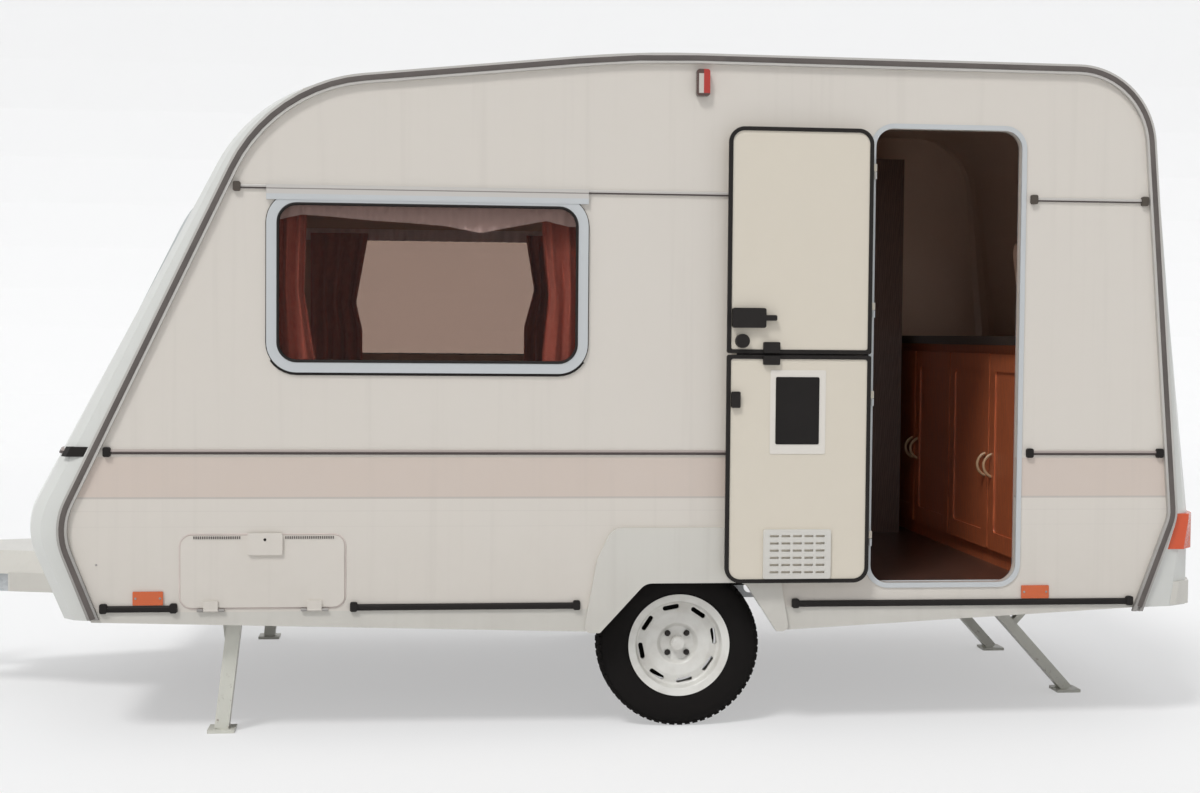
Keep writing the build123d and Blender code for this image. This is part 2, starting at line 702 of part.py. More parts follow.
# Locker door
locker_axis_y = HALF_WIDTH + 10
locker_axis_z = LOCKER_BOTTOM - 3
locker_leaf = across(grown(locker_hole, -LOCKER_GAP), HALF_WIDTH - 12, HALF_WIDTH + LOCKER_THICK - 12)
pins = []
for x in (LOCKER_FRONT_X - 110, locker_rear_x + 110):
    locker_leaf += rod((x - 25, locker_axis_y, locker_axis_z), (x + 25, locker_axis_y, locker_axis_z), 5)
    locker_leaf += block(x - 25, x + 25, HALF_WIDTH + 1, locker_axis_y + 4, locker_axis_z, LOCKER_BOTTOM + 30)
    for side in (-1, 1):
        x0 = x + side * 27
        pin = rod((x0, locker_axis_y, locker_axis_z), (x0 + side * 20, locker_axis_y, locker_axis_z), 5)
        pin += block(x0, x0 + side * 20, HALF_WIDTH, locker_axis_y, locker_axis_z - 5, locker_axis_z + 3)
        pins.append(pin)
locker_face = HALF_WIDTH + LOCKER_THICK - 12
locker_latch = across(panel(626, 748, 650, 727, 8), locker_face, locker_face + 10)
save("locker_door", locker_leaf + locker_latch)
save("locker_hinges", Compound(pins))

# Chassis rails, cross members and drawbar
def channel(start, end, height, flange, web, open_side):
    """Level C section between two points of its back face, open to one side"""
    a, b = Vector(*start), Vector(*end)
    run = (b - a).normalized()
    side = Vector(-run.Y, run.X, 0) * open_side
    corners = ((0, 0), (flange, 0), (flange, web), (web, web), (web, height - web), (flange, height - web),
               (flange, height), (0, height))
    face = Face(Wire.make_polygon([a + side * u + Vector(0, 0, v) for u, v in corners], close=True))
    return extrude(face, amount=(b - a).length, dir=run)


chassis_low = FLOOR_UNDERSIDE - CHASSIS_HEIGHT
frame_parts = []
for side in (1, -1):
    y = side * CHASSIS_HALF
    frame_parts.append(channel((CHASSIS_REAR_X, y, chassis_low), (DRAWBAR_START_X, y, chassis_low),
                               CHASSIS_HEIGHT, CHASSIS_FLANGE, CHASSIS_WEB, -side))
chassis = frame_parts[0] + frame_parts[1]
for x in CROSS_MEMBERS:
    chassis += block(x - CROSS_MEMBER_WIDTH / 2, x + CROSS_MEMBER_WIDTH / 2, -CHASSIS_HALF, CHASSIS_HALF,
                     chassis_low + CHASSIS_HEIGHT / 3, FLOOR_UNDERSIDE - CHASSIS_WEB)
for x in LIGHTENING_HOLES:
    z = chassis_low + CHASSIS_HEIGHT / 2
    chassis -= rod((x, -CHASSIS_HALF - 1, z), (x, CHASSIS_HALF + 1, z), LIGHTENING_RADIUS)
save("chassis_frame", chassis)

drawbar = None
for side in (1, -1):
    member = channel((DRAWBAR_START_X, side * CHASSIS_HALF, chassis_low),
                     (drawbar_tip_x, side * DRAWBAR_TIP_HALF, chassis_low),
                     CHASSIS_HEIGHT, CHASSIS_FLANGE, CHASSIS_WEB, -side)
    drawbar = member if drawbar is None else drawbar + member
drawbar_top = chassis_low + CHASSIS_HEIGHT
member_inner = CHASSIS_FLANGE + MEMBER_ROOM
member_room = upward(((DRAWBAR_START_X, CHASSIS_HALF - member_inner, 0),
                      (drawbar_tip_x, DRAWBAR_TIP_HALF - member_inner, 0),
                      (drawbar_tip_x, DRAWBAR_TIP_HALF + MEMBER_ROOM, 0),
                      (DRAWBAR_START_X, CHASSIS_HALF + MEMBER_ROOM, 0)), 0, drawbar_top + MEMBER_ROOM)
save("front_panel", front_panel - member_room - mirrored(member_room))
drawbar += block(drawbar_tip_x - TIP_PLATE, drawbar_tip_x, -DRAWBAR_TIP_HALF, DRAWBAR_TIP_HALF,
                 drawbar_top - CHASSIS_WEB, drawbar_top + 4)
drawbar += block(drawbar_tip_x - 12, drawbar_tip_x, -DRAWBAR_TIP_HALF - 8, DRAWBAR_TIP_HALF + 8,
                 chassis_low, drawbar_top + 4)
drawbar -= block(DRAWBAR_START_X - 60, DRAWBAR_START_X, -CHASSIS_HALF - 60, CHASSIS_HALF + 60,
                 chassis_low - 60, drawbar_top + 60)
save("drawbar", drawbar)
between_members = upward(((DRAWBAR_START_X, -CHASSIS_HALF, 0), (drawbar_tip_x, -DRAWBAR_TIP_HALF, 0),
                          (drawbar_tip_x, DRAWBAR_TIP_HALF, 0), (DRAWBAR_START_X, CHASSIS_HALF, 0)),
                         chassis_low, drawbar_top)


def member_y(x):
    """Outer face of the nearside drawbar member at a place along it"""
    return DRAWBAR_TIP_HALF + (CHASSIS_HALF - DRAWBAR_TIP_HALF) * (drawbar_tip_x - x) / DRAWBAR_LENGTH


# Tow coupling: overrun tube with its gaiter, head with ball socket, handle
tube_z = BALL_Z + 18
neck_x = ball_x - 40
coupling_tube = rod((drawbar_tip_x, 0, tube_z), (neck_x, 0, tube_z), OVERRUN_RADIUS)
for i in range(GAITER_FOLDS):
    x = drawbar_tip_x + i * GAITER_PITCH
    valley = tube_z + GAITER_RADIUS - 8
    fold = revolve(Face(Wire.make_polygon([(x, 0, tube_z), (x, 0, valley),
                                           (x + GAITER_PITCH / 2, 0, tube_z + GAITER_RADIUS),
                                           (x + GAITER_PITCH, 0, valley),
                                           (x + GAITER_PITCH, 0, tube_z)], close=True)),
                   axis=Axis((0, 0, tube_z), (1, 0, 0)))
    coupling_tube += fold
save("coupling_tube", coupling_tube)
head_low = BALL_Z - 12
head_top = BALL_Z + 48
head = upward(((ball_x - 62, -24, 8), (ball_x - 20, -40, 20), (ball_x + 40, -40, 30), (ball_x + 74, -12, 12),
               (ball_x + 74, 12, 12), (ball_x + 40, 40, 30), (ball_x - 20, 40, 20), (ball_x - 62, 24, 8)),
              head_low, head_top)
head -= rod((ball_x, 0, head_low - 1), (ball_x, 0, head_low + SOCKET_DEPTH), BALL_RADIUS)
head -= rod((ball_x - 70, 0, tube_z), (neck_x, 0, tube_z), OVERRUN_RADIUS)
head -= block(ball_x - 70, neck_x, -OVERRUN_RADIUS, OVERRUN_RADIUS, 0, tube_z)
handle = across(((ball_x - 70, head_top, 6), (ball_x + 30, head_top, 6), (ball_x + 56, head_top + 34, 10),
                 (ball_x + 40, head_top + 52, 10), (ball_x - 150, head_top + 66, 10),
                 (ball_x - 160, head_top + 48, 8), (ball_x - 60, head_top + 34, 8)), -20, 20)
save("coupling_head", head + handle)

lever_y = DRAWBAR_TIP_HALF + LEVER_SIDE
lever_z = drawbar_top + 18
lever = rod((drawbar_tip_x - 90, lever_y, lever_z), (drawbar_tip_x + 130, lever_y, lever_z + 240),
            LEVER_RADIUS)
lever += rod((drawbar_tip_x + 64, lever_y, lever_z + 168), (drawbar_tip_x + 152, lever_y, lever_z + 264),
             GRIP_RADIUS)
lever += block(drawbar_tip_x - 120, drawbar_tip_x - 60, DRAWBAR_TIP_HALF, lever_y + 8,
               chassis_low + 20, lever_z + 14) - between_members
save("handbrake_lever", lever)

# Fairing over the drawbar: a hood with sloping sides, and a short skirt below its rear part
nose_x = SIDE_OUTLINE[1][0]
fairing_tip_x = nose_x + FAIRING_LENGTH


def fairing_form(amount, top):
    """Closed form of the hood, moved inwards by an amount, up to a level"""
    half, tip, end = FAIRING_HALF - amount, FAIRING_TIP_HALF - amount, fairing_tip_x - amount
    low = ((nose_x - 120, -half, 0), (end, -tip, 60), (end, tip, 60), (nose_x - 120, half, 0))
    slope = FAIRING_SLOPE
    high = ((nose_x - 120, slope - half, 0), (end - slope, slope * 0.7 - tip, 40),
            (end - slope, tip - slope * 0.7, 40), (nose_x - 120, half - slope, 0))
    return Solid.make_loft([outline(low, lambda u, v: (u, v, FAIRING_BREAK_Z)),
                            outline(high, lambda u, v: (u, v, top))], ruled=True)


hood = fairing_form(0, FAIRING_TOP) - fairing_form(FAIRING_SHEET, FAIRING_TOP - FAIRING_SHEET)
skirt_half = FAIRING_HALF - 12
skirt_tip = skirt_half - (FAIRING_HALF - FAIRING_TIP_HALF) * (FAIRING_SKIRT_X - nose_x) / FAIRING_LENGTH
apron = upward(((nose_x - 120, -skirt_half, 0), (FAIRING_SKIRT_X, -skirt_tip, 20),
                (FAIRING_SKIRT_X, skirt_tip, 20), (nose_x - 120, skirt_half, 0)),
               FAIRING_SKIRT_LOW, FAIRING_BREAK_Z + FAIRING_SHEET)
half_in, tip_in = skirt_half - FAIRING_SHEET, skirt_tip - FAIRING_SHEET
apron -= upward(((nose_x - 130, -half_in, 0), (FAIRING_SKIRT_X + 1, -tip_in, 0),
                 (FAIRING_SKIRT_X + 1, tip_in, 0), (nose_x - 130, half_in, 0)),
                FAIRING_SKIRT_LOW - 1, FAIRING_BREAK_Z + FAIRING_SHEET + 1)
hood += apron
fairing = hood - outer - floor_panel - drawbar
save("drawbar_fairing", fairing)

# Axle: torsion tube, trailing arms, stub axles and brake drums
tube_x = AXLE_X + ARM_LENGTH
axle_z = chassis_low - AXLE_TUBE_RADIUS
axle = rod((tube_x, -ARM_Y - 20, axle_z), (tube_x, ARM_Y + 20, axle_z), AXLE_TUBE_RADIUS)
for side in (1, -1):
    y = side * ARM_Y
    arm = across(((tube_x + 40, axle_z + 40, 36), (AXLE_X - 34, TYRE_RADIUS + 32, 30),
                  (AXLE_X - 34, TYRE_RADIUS - 32, 30), (tube_x + 40, axle_z - 40, 36)),
                 y - ARM_HALF, y + ARM_HALF)
    drum = rod((AXLE_X, y + side * ARM_HALF, TYRE_RADIUS),
               (AXLE_X, y + side * (ARM_HALF + DRUM_WIDTH), TYRE_RADIUS), DRUM_RADIUS)
    stub = rod((AXLE_X, y, TYRE_RADIUS), (AXLE_X, side * (TRACK_HALF + 40), TYRE_RADIUS), STUB_RADIUS)
    axle += arm + drum + stub
    saddle = block(tube_x - 50, tube_x + 50, side * (CHASSIS_HALF - 46), side * (CHASSIS_HALF - 8),
                   axle_z, chassis_low)
    axle += saddle
save("axle", axle)


def ring_profile(points, y_middle, side):
    """Half section of a wheel part, points (radius, y outwards, corner radius), turned about its axle"""
    if side > 0:
        points = tuple(reversed(points))
    face = Face(outline(points, lambda u, v: (AXLE_X, y_middle + side * v, TYRE_RADIUS + u)))
    return revolve(face, axis=Axis((AXLE_X, 0, TYRE_RADIUS), (0, 1, 0)))


half_tyre = TYRE_WIDTH / 2
flange = half_tyre - 10.5
slot_length = 2 * SLOT_RADIUS * sin(radians(SLOT_SPAN / 2))
TYRE_SECTION = ((TYRE_RADIUS, -58, 22), (TYRE_RADIUS, 58, 22), (272, half_tyre, 34), (222, half_tyre, 40),
                (RIM_SEAT + 0.3, 54, 0), (RIM_SEAT + 0.3, -54, 0), (222, -half_tyre, 40),
                (272, -half_tyre, 34))
for side, name in ((1, "nearside"), (-1, "offside")):
    y = side * TRACK_HALF
    tyre = ring_profile(TYRE_SECTION, y, side)
    rim = ring_profile(((RIM_RADIUS, flange, 0), (RIM_RADIUS, flange - RIM_FLANGE, 0), (RIM_SEAT, 58, 5),
                        (RIM_SEAT, -58, 5), (RIM_RADIUS, RIM_FLANGE - flange, 0), (RIM_RADIUS, -flange, 0),
                        (158, -64, 6), (158, 8, 8), (118, 30, 10), (80, 26, 8), (66, 8, 6),
                        (STUB_RADIUS + 0.3, 8, 0), (STUB_RADIUS + 0.3, 14, 0), (62, 14, 6), (76, 33, 8),
                        (118, 38, 12), (152, 30, 10), (160, flange - 8, 6)), y, side)
    for i in range(RIM_SLOTS):
        turn = 360 / RIM_SLOTS * i + 11
        slot_face = RectangleRounded(SLOT_WIDTH, slot_length, SLOT_WIDTH / 2 - 0.5)
        slot = extrude(Plane((AXLE_X, y - side * 20, TYRE_RADIUS), x_dir=(1, 0, 0), z_dir=(0, side, 0))
                       * Rot(0, 0, turn) * Pos(SLOT_RADIUS, 0) * slot_face, amount=90)
        rim -= slot
    cap = rod((AXLE_X, y + side * 42, TYRE_RADIUS), (AXLE_X, y + side * 48, TYRE_RADIUS), 22)
    cap += rod((AXLE_X, y + side * 14, TYRE_RADIUS), (AXLE_X, y + side * 42, TYRE_RADIUS), 26)
    cap -= rod((AXLE_X, y + side * 10, TYRE_RADIUS), (AXLE_X, y + side * 41, TYRE_RADIUS), STUB_RADIUS + 0.3)
    save(f"tyre_{name}", tyre)
    save(f"rim_{name}", rim + cap)

# Corner steadies: base with its screw, leg, and the strut that the screw draws along
bases = []
for name, hinge_at, y, foot_x, depth, strut_length, over in STEADIES:
    forward = 1 if foot_x > hinge_at else -1
    base_end = hinge_at + forward * (2 * strut_length + over)
    base = block(hinge_at - forward * STEADY_BASE_BACK, base_end, y - BASE_HALF, y + BASE_HALF,
                 FLOOR_UNDERSIDE - BASE_SHEET, FLOOR_UNDERSIDE)
    for side in (-1, 1):
        base += block(hinge_at - forward * 40, hinge_at + forward * 30, y + side * (BASE_HALF - 4),
                      y + side * BASE_HALF, STEADY_HINGE_Z - 16, FLOOR_UNDERSIDE)
    base += rod((hinge_at, y - BASE_HALF, STEADY_HINGE_Z), (hinge_at, y + BASE_HALF, STEADY_HINGE_Z),
                STEADY_PIN)
    base += block(base_end - forward * 8, base_end, y - BASE_HALF, y + BASE_HALF,
                  STEADY_HINGE_Z - 20, FLOOR_UNDERSIDE)
    base += rod((hinge_at, y, STEADY_HINGE_Z), (base_end + forward * 30, y, STEADY_HINGE_Z), SCREW_RADIUS)
    base += rod((base_end, y, STEADY_HINGE_Z), (base_end + forward * 26, y, STEADY_HINGE_Z), SCREW_END)
    bases.append(base)

    drop = STEADY_HINGE_Z - FOOT_THICK
    length = hypot(foot_x - hinge_at, drop)
    tilt = degrees(atan2(drop, abs(foot_x - hinge_at)))
    leg = block(-18, length, y - LEG_WIDTH / 2, y + LEG_WIDTH / 2, -depth / 2, depth / 2)
    leg -= block(-30, length - 8, y - LEG_WIDTH / 2 + LEG_SHEET, y + LEG_WIDTH / 2 - LEG_SHEET,
                 LEG_SHEET - depth / 2, depth)
    leg += rod((strut_length, y - LEG_WIDTH / 2, 0), (strut_length, y + LEG_WIDTH / 2, 0), STEADY_PIN)
    leg = leg if forward > 0 else mirror(leg, about=Plane.YZ)
    leg = Pos(hinge_at, 0, STEADY_HINGE_Z) * (Rot(0, forward * tilt, 0) * leg)
    leg -= block(-4000, 4000, -2000, 2000, -300, FOOT_THICK)
    leg -= rod((hinge_at, y - LEG_WIDTH, STEADY_HINGE_Z), (hinge_at, y + LEG_WIDTH, STEADY_HINGE_Z),
               STEADY_PIN + PIN_CLEARANCE)
    leg += block(foot_x - FOOT_HALF, foot_x + FOOT_HALF, y - FOOT_HALF, y + FOOT_HALF, 0, FOOT_THICK)
    save(f"steady_leg_{name}", leg)

    strut = block(0, strut_length, y - STRUT_HALF, y + STRUT_HALF, -STRUT_END, STRUT_END)
    for x in (0, strut_length):
        strut += rod((x, y - STRUT_HALF, 0), (x, y + STRUT_HALF, 0), STRUT_END)
    strut -= block(-20, strut_length + 20, y - STRUT_HALF + STRUT_SHEET, y + STRUT_HALF - STRUT_SHEET,
                   -STRUT_END - 1, STRUT_END + 1)
    strut += block(30, 60, y - STRUT_HALF + 1, y + STRUT_HALF - 1, -STRUT_END, STRUT_SHEET - STRUT_END)
    strut -= rod((0, y - 60, 0), (0, y + 60, 0), STEADY_PIN + PIN_CLEARANCE)
    strut = strut if forward > 0 else mirror(strut, about=Plane.YZ)
    pin_x = hinge_at + forward * strut_length * cos(radians(tilt))
    pin_z = STEADY_HINGE_Z - strut_length * sin(radians(tilt))
    save(f"steady_strut_{name}", Pos(pin_x, 0, pin_z) * (Rot(0, -forward * tilt, 0) * strut))
save("steady_bases", Compound(bases))

# Jockey wheel
jockey_x = drawbar_tip_x - JOCKEY_BACK
jockey_y = -member_y(jockey_x) - JOCKEY_SIDE
clamp = block(jockey_x - CLAMP_HALF, jockey_x + CLAMP_HALF, jockey_y - 40, jockey_y + 40,
              chassis_low + 10, drawbar_top - 10)
clamp += block(jockey_x - 22, jockey_x + 22, jockey_y + 30, jockey_y + JOCKEY_SIDE + 14,
               chassis_low + 15, drawbar_top - 15)
clamp -= between_members
clamp -= rod((jockey_x, jockey_y, chassis_low), (jockey_x, jockey_y, drawbar_top), JOCKEY_TUBE)
tube = rod((jockey_x, jockey_y, JOCKEY_TUBE_LOW), (jockey_x, jockey_y, JOCKEY_TUBE_TOP), JOCKEY_TUBE)
tube -= rod((jockey_x, jockey_y, 0), (jockey_x, jockey_y, JOCKEY_TUBE_TOP - 20), JOCKEY_STEM + 0.4)
crank_z = JOCKEY_TUBE_TOP + 38
tube += rod((jockey_x, jockey_y, JOCKEY_TUBE_TOP), (jockey_x, jockey_y, crank_z + 4), CRANK_RADIUS)
tube += block(jockey_x - 10, jockey_x + CRANK_REACH + 12, jockey_y - 10, jockey_y + 10,
              crank_z - 4, crank_z + 4)
tube += rod((jockey_x + CRANK_REACH, jockey_y, crank_z), (jockey_x + CRANK_REACH, jockey_y, crank_z + 84), 11)
save("jockey_tube", tube + clamp)
fork_top = 2 * JOCKEY_WHEEL_RADIUS + 32
stem = rod((jockey_x, jockey_y, fork_top + 0.3), (jockey_x, jockey_y, JOCKEY_TUBE_TOP - 140), JOCKEY_STEM)
save("jockey_stem", stem)
fork_x = jockey_x - JOCKEY_TRAIL
fork_in = JOCKEY_WHEEL_WIDTH / 2 + 6
fork = block(fork_x - 20, jockey_x + 26, jockey_y - fork_in - 5, jockey_y + fork_in + 5,
             fork_top - 8, fork_top)
for side in (-1, 1):
    y0 = jockey_y + side * fork_in
    fork += across(((fork_x - 20, fork_top - 4, 0), (fork_x - 20, JOCKEY_WHEEL_RADIUS - 18, 17),
                    (fork_x + 20, JOCKEY_WHEEL_RADIUS - 18, 17), (jockey_x + 26, fork_top - 4, 0)),
                   min(y0, y0 + side * 5), max(y0, y0 + side * 5))
fork += rod((fork_x, jockey_y - fork_in - 8, JOCKEY_WHEEL_RADIUS),
            (fork_x, jockey_y + fork_in + 8, JOCKEY_WHEEL_RADIUS), 8)
save("jockey_fork", fork)
half_jockey = JOCKEY_WHEEL_WIDTH / 2
section = ((8.3, -half_jockey, 0), (50, -half_jockey + 4, 4), (60, -half_jockey + 8, 4),
           (90, -half_jockey, 12), (JOCKEY_WHEEL_RADIUS, -half_jockey + 12, 14),
           (JOCKEY_WHEEL_RADIUS, half_jockey - 12, 14), (90, half_jockey, 12),
           (60, half_jockey - 8, 4), (50, half_jockey - 4, 4), (8.3, half_jockey, 0))
wheel_face = Face(outline(tuple(section), lambda u, v: (fork_x, jockey_y + v, JOCKEY_WHEEL_RADIUS + u)))
save("jockey_wheel", revolve(wheel_face, axis=Axis((fork_x, 0, JOCKEY_WHEEL_RADIUS), (0, 1, 0))))

# Roof light: kerb in the roof and hinged lid
roof_z = SIDE_OUTLINE[3][1] - 1
light_half = ROOF_LIGHT_SIZE / 2
kerb_top = roof_z + KERB_HEIGHT
kerb = upward(panel(ROOF_LIGHT_X - light_half - KERB_FLANGE, ROOF_LIGHT_X + light_half + KERB_FLANGE,
                    -light_half - KERB_FLANGE, light_half + KERB_FLANGE, 40), roof_z + 1.5, kerb_top)
kerb += block(ROOF_LIGHT_X - light_half, ROOF_LIGHT_X + light_half, -light_half, light_half,
              roof_z - WALL - 6, kerb_top)
well_half = light_half - KERB_SHEET
kerb -= block(ROOF_LIGHT_X - well_half, ROOF_LIGHT_X + well_half, -well_half, well_half,
              roof_z - 100, kerb_top + 1)
lid_half = light_half + LID_OVER
lid_low = kerb_top + LID_GAP
lid_corners = panel(ROOF_LIGHT_X - lid_half, ROOF_LIGHT_X + lid_half, -lid_half, lid_half, 60)
lid = Solid.make_loft([outline(lid_corners, lambda u, v: (u, v, lid_low)),
                       outline(grown(lid_corners, -6), lambda u, v: (u, v, lid_low + 14)),
                       outline(grown(lid_corners, -50), lambda u, v: (u, v, lid_low + ROOF_LIGHT_LID - 6)),
                       outline(grown(lid_corners, -110), lambda u, v: (u, v, lid_low + ROOF_LIGHT_LID))],
                      ruled=True)
lid -= upward(grown(lid_corners, -LID_SHEET - 10), lid_low - 1, lid_low + 10)
pin_x = ROOF_LIGHT_X - lid_half - 8
pin_z = lid_low + 4
hinge_back = ROOF_LIGHT_X - light_half - KERB_FLANGE + 4
for y in LID_HINGES:
    lid += rod((pin_x, y - 10, pin_z), (pin_x, y + 10, pin_z), LID_PIN)
    lid += block(pin_x, ROOF_LIGHT_X - lid_half + 12, y - 10, y + 10, pin_z - 3, pin_z + 3)
    for side in (-1, 1):
        near, far = sorted((y + side * 11, y + side * 22))
        kerb += rod((pin_x, near, pin_z), (pin_x, far, pin_z), LID_PIN)
        kerb += block(pin_x - LID_PIN, pin_x + LID_PIN, near, far, kerb_top - 6, pin_z)
        kerb += block(pin_x - LID_PIN, hinge_back, near, far, kerb_top - 6, kerb_top)
save("roof_light_lid", lid)
save("roof_light_kerb", kerb)

# Lamps, reflectors, bumper and plates
def both(shape):
    """The piece and its copy on the other side"""
    return [shape, mirrored(shape)]


lamps = []
for x in REFLECTORS:
    reflector = panel(x - 52, x + 52, REFLECTOR_LOW, REFLECTOR_HIGH, 3)
    lamps += both(across(reflector, HALF_WIDTH, HALF_WIDTH + 7))
marker_rear_x = MARKER_X - MARKER_WIDTH / 2
marker = across(panel(marker_rear_x, marker_rear_x + MARKER_WIDTH, MARKER_LOW, MARKER_HIGH, 10),
                HALF_WIDTH, HALF_WIDTH + 26)
lamp = hull(-REAR_LAMP_OUT, 300) - outer
lamp &= block(-4000, -2000, *REAR_LAMP_Y, REAR_LAMP_LOW, REAR_LAMP_HIGH)
save("lamps", Compound(lamps + both(marker) + both(lamp)))
bumper = hull(-BUMPER_OUT, 300) - outer
save("rear_bumper", bumper & block(-4000, -2000, -BUMPER_HALF, BUMPER_HALF, BUMPER_LOW, BUMPER_HIGH))
vents = []
for low in FRIDGE_VENTS:
    grille = across(panel(-2500, -2140, low, low + 190, 8), HALF_WIDTH, HALF_WIDTH + 12)
    for i in range(5):
        grille -= block(-2475, -2165, HALF_WIDTH + 4, through_wall[1], low + 22 + i * 32, low + 38 + i * 32)
    vents.append(mirrored(grille))
save("fridge_vents", Compound(vents))

# Furniture that shows through the doorway and the windows
room = level(inset(side_corners(0), WALL + 4), FLOOR_TOP)
room_half = HALF_WIDTH - WALL - 4
furniture = across(room, -room_half, room_half)
kitchen_top = WORKTOP_TOP - WORKTOP_THICK
kitchen = furniture & block(-4000, KITCHEN_X, -room_half, room_half, FLOOR_TOP, kitchen_top)
save("kitchen_worktop", furniture & block(-4000, KITCHEN_X + WORKTOP_OVER, -room_half, room_half,
                                          kitchen_top, WORKTOP_TOP))
doors = []
pull_middle = (PULL_LOW + PULL_HIGH) / 2
door_width = 2 * room_half / KITCHEN_DOORS
for i in range(KITCHEN_DOORS):
    y0 = -room_half + i * door_width + 6
    y1 = y0 + door_width - 12
    board = along(panel(y0, y1, FLOOR_TOP + 60, WORKTOP_TOP - 70, 8), KITCHEN_X, KITCHEN_X + 16)
    board -= along(panel(y0 + 60, y1 - 60, FLOOR_TOP + 130, WORKTOP_TOP - 140, 20),
                   KITCHEN_X + 10, KITCHEN_X + 30)
    handle_y = y1 - 32 if i % 2 == 0 else y0 + 32
    face = KITCHEN_X + 14
    bow = Edge.make_three_point_arc((face, handle_y, PULL_LOW), (face + PULL_REACH, handle_y, pull_middle),
                                    (face, handle_y, PULL_HIGH))
    pull = sweep(Plane((face, handle_y, PULL_LOW), z_dir=bow % 0) * Circle(PULL_RADIUS), path=bow)
    doors.append(board + (pull & block(KITCHEN_X + 1, 0, -2000, 2000, 0, 3000)))
for board in doors:
    kitchen += board
save("kitchen_unit", kitchen)
save("wardrobe", block(KITCHEN_X + WARDROBE_GAP, WARDROBE_FRONT_X, -room_half, WARDROBE_FACE_Y,
                       FLOOR_TOP, WARDROBE_TOP))

bench = furniture & block(BENCH_REAR_X, 3000, BENCH_IN_Y, room_half, FLOOR_TOP, BENCH_TOP)
bench += mirrored(bench)
bench += furniture & block(BENCH_FRONT_X, 3000, -BENCH_IN_Y, BENCH_IN_Y, FLOOR_TOP, BENCH_TOP)
locker_room = block(BENCH_REAR_X + 16, BENCH_FRONT_X - 16, BENCH_IN_Y + 16, room_half - 14,
                    FLOOR_TOP + 6, BENCH_TOP - 16)
locker_mouth = block(locker_rear_x, LOCKER_FRONT_X - 135, room_half - 30, room_half + 10,
                     LOCKER_BOTTOM, LOCKER_BOTTOM + LOCKER_HEIGHT)
bench -= locker_room + mirrored(locker_room) + locker_mouth
save("lounge_bench", bench)
seat_top = BENCH_TOP + SEAT_THICK
seats = both(upward(panel(BENCH_REAR_X + CUSHION_GAP, BENCH_FRONT_X - CUSHION_GAP, BENCH_IN_Y + CUSHION_GAP,
                          room_half - CUSHION_GAP, 30), BENCH_TOP, seat_top))
seats.append(upward(panel(BENCH_FRONT_X + CUSHION_GAP, SEAT_FRONT_X, -BENCH_IN_Y, BENCH_IN_Y, 30),
                    BENCH_TOP, seat_top))
backs = both(across(panel(BENCH_REAR_X + CUSHION_GAP, BACK_FRONT_X, seat_top + CUSHION_GAP, BACK_TOP, 40),
                    room_half - BACK_THICK, room_half - CUSHION_GAP))
save("lounge_cushions", Compound(seats + backs))
drops = []
for x0 in (WINDOW_X - WINDOW_WIDTH / 2 - 30, WINDOW_X + WINDOW_WIDTH / 2 - 130):
    drops += both(across(panel(x0, x0 + 160, 1300, 1900, 10), CURTAIN_Y - 14, CURTAIN_Y + 14))
drops += both(across(panel(WINDOW_X - 585, WINDOW_X + 585, 1800, 1925, 10), CURTAIN_Y - 36, CURTAIN_Y - 18))
save("curtains", Compound(drops))
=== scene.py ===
# %% [markdown]
# # A touring caravan, dressed over its measured frame
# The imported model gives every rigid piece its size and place. Here it gets its finishes, and the
# pieces that a drawing leaves plain: tyres with tread, rubber inserts, screws, curtains, cushions.
# Every piece is named after what it is, and rides on the body that carries it on the real caravan.

# %% Load the frame
import math

import bmesh
import bpy
import numpy as np
from mathutils import Matrix, Vector


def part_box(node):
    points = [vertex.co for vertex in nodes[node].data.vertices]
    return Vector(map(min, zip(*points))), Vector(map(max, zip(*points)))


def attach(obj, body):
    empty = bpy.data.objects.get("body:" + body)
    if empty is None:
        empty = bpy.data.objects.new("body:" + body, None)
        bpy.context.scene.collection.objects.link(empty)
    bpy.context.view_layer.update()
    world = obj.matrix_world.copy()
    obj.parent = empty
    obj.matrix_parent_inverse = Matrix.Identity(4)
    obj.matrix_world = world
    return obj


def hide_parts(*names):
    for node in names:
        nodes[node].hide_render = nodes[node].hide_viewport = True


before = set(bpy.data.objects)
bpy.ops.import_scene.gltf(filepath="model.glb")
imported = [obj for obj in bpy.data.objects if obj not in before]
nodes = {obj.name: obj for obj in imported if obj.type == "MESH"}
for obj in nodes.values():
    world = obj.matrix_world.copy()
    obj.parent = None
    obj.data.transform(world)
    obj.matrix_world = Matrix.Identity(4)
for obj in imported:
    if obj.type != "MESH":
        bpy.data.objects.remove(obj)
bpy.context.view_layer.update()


def new_object(name, data):
    """Object of the given data, linked to the scene"""
    made = bpy.data.objects.new(name, data)
    bpy.context.scene.collection.objects.link(made)
    return made


# %% [markdown]
# ## Camera
# The photograph was taken from the door side, about a metre ahead of the axle, at eye level. A camera
# is best placed by three measured facts: where it stands, which way it looks, how wide it sees. The
# level lines of the body gave its turn, its dip and its slight roll.

# %% Camera
CAMERA_PLACE = (0.130, 7.046, 1.435)
CAMERA_TURN, CAMERA_DIP, CAMERA_ROLL = (math.radians(a) for a in (5.93, 2.12, 0.48))
LENS_MM = 50.55


def camera_axes(turn, dip, roll):
    ahead = Vector((-math.sin(turn) * math.cos(dip), -math.cos(turn) * math.cos(dip), -math.sin(dip)))
    right = ahead.cross(Vector((0, 0, 1))).normalized()
    up = right.cross(ahead)
    return right * math.cos(roll) + up * math.sin(roll), up * math.cos(roll) - right * math.sin(roll), ahead


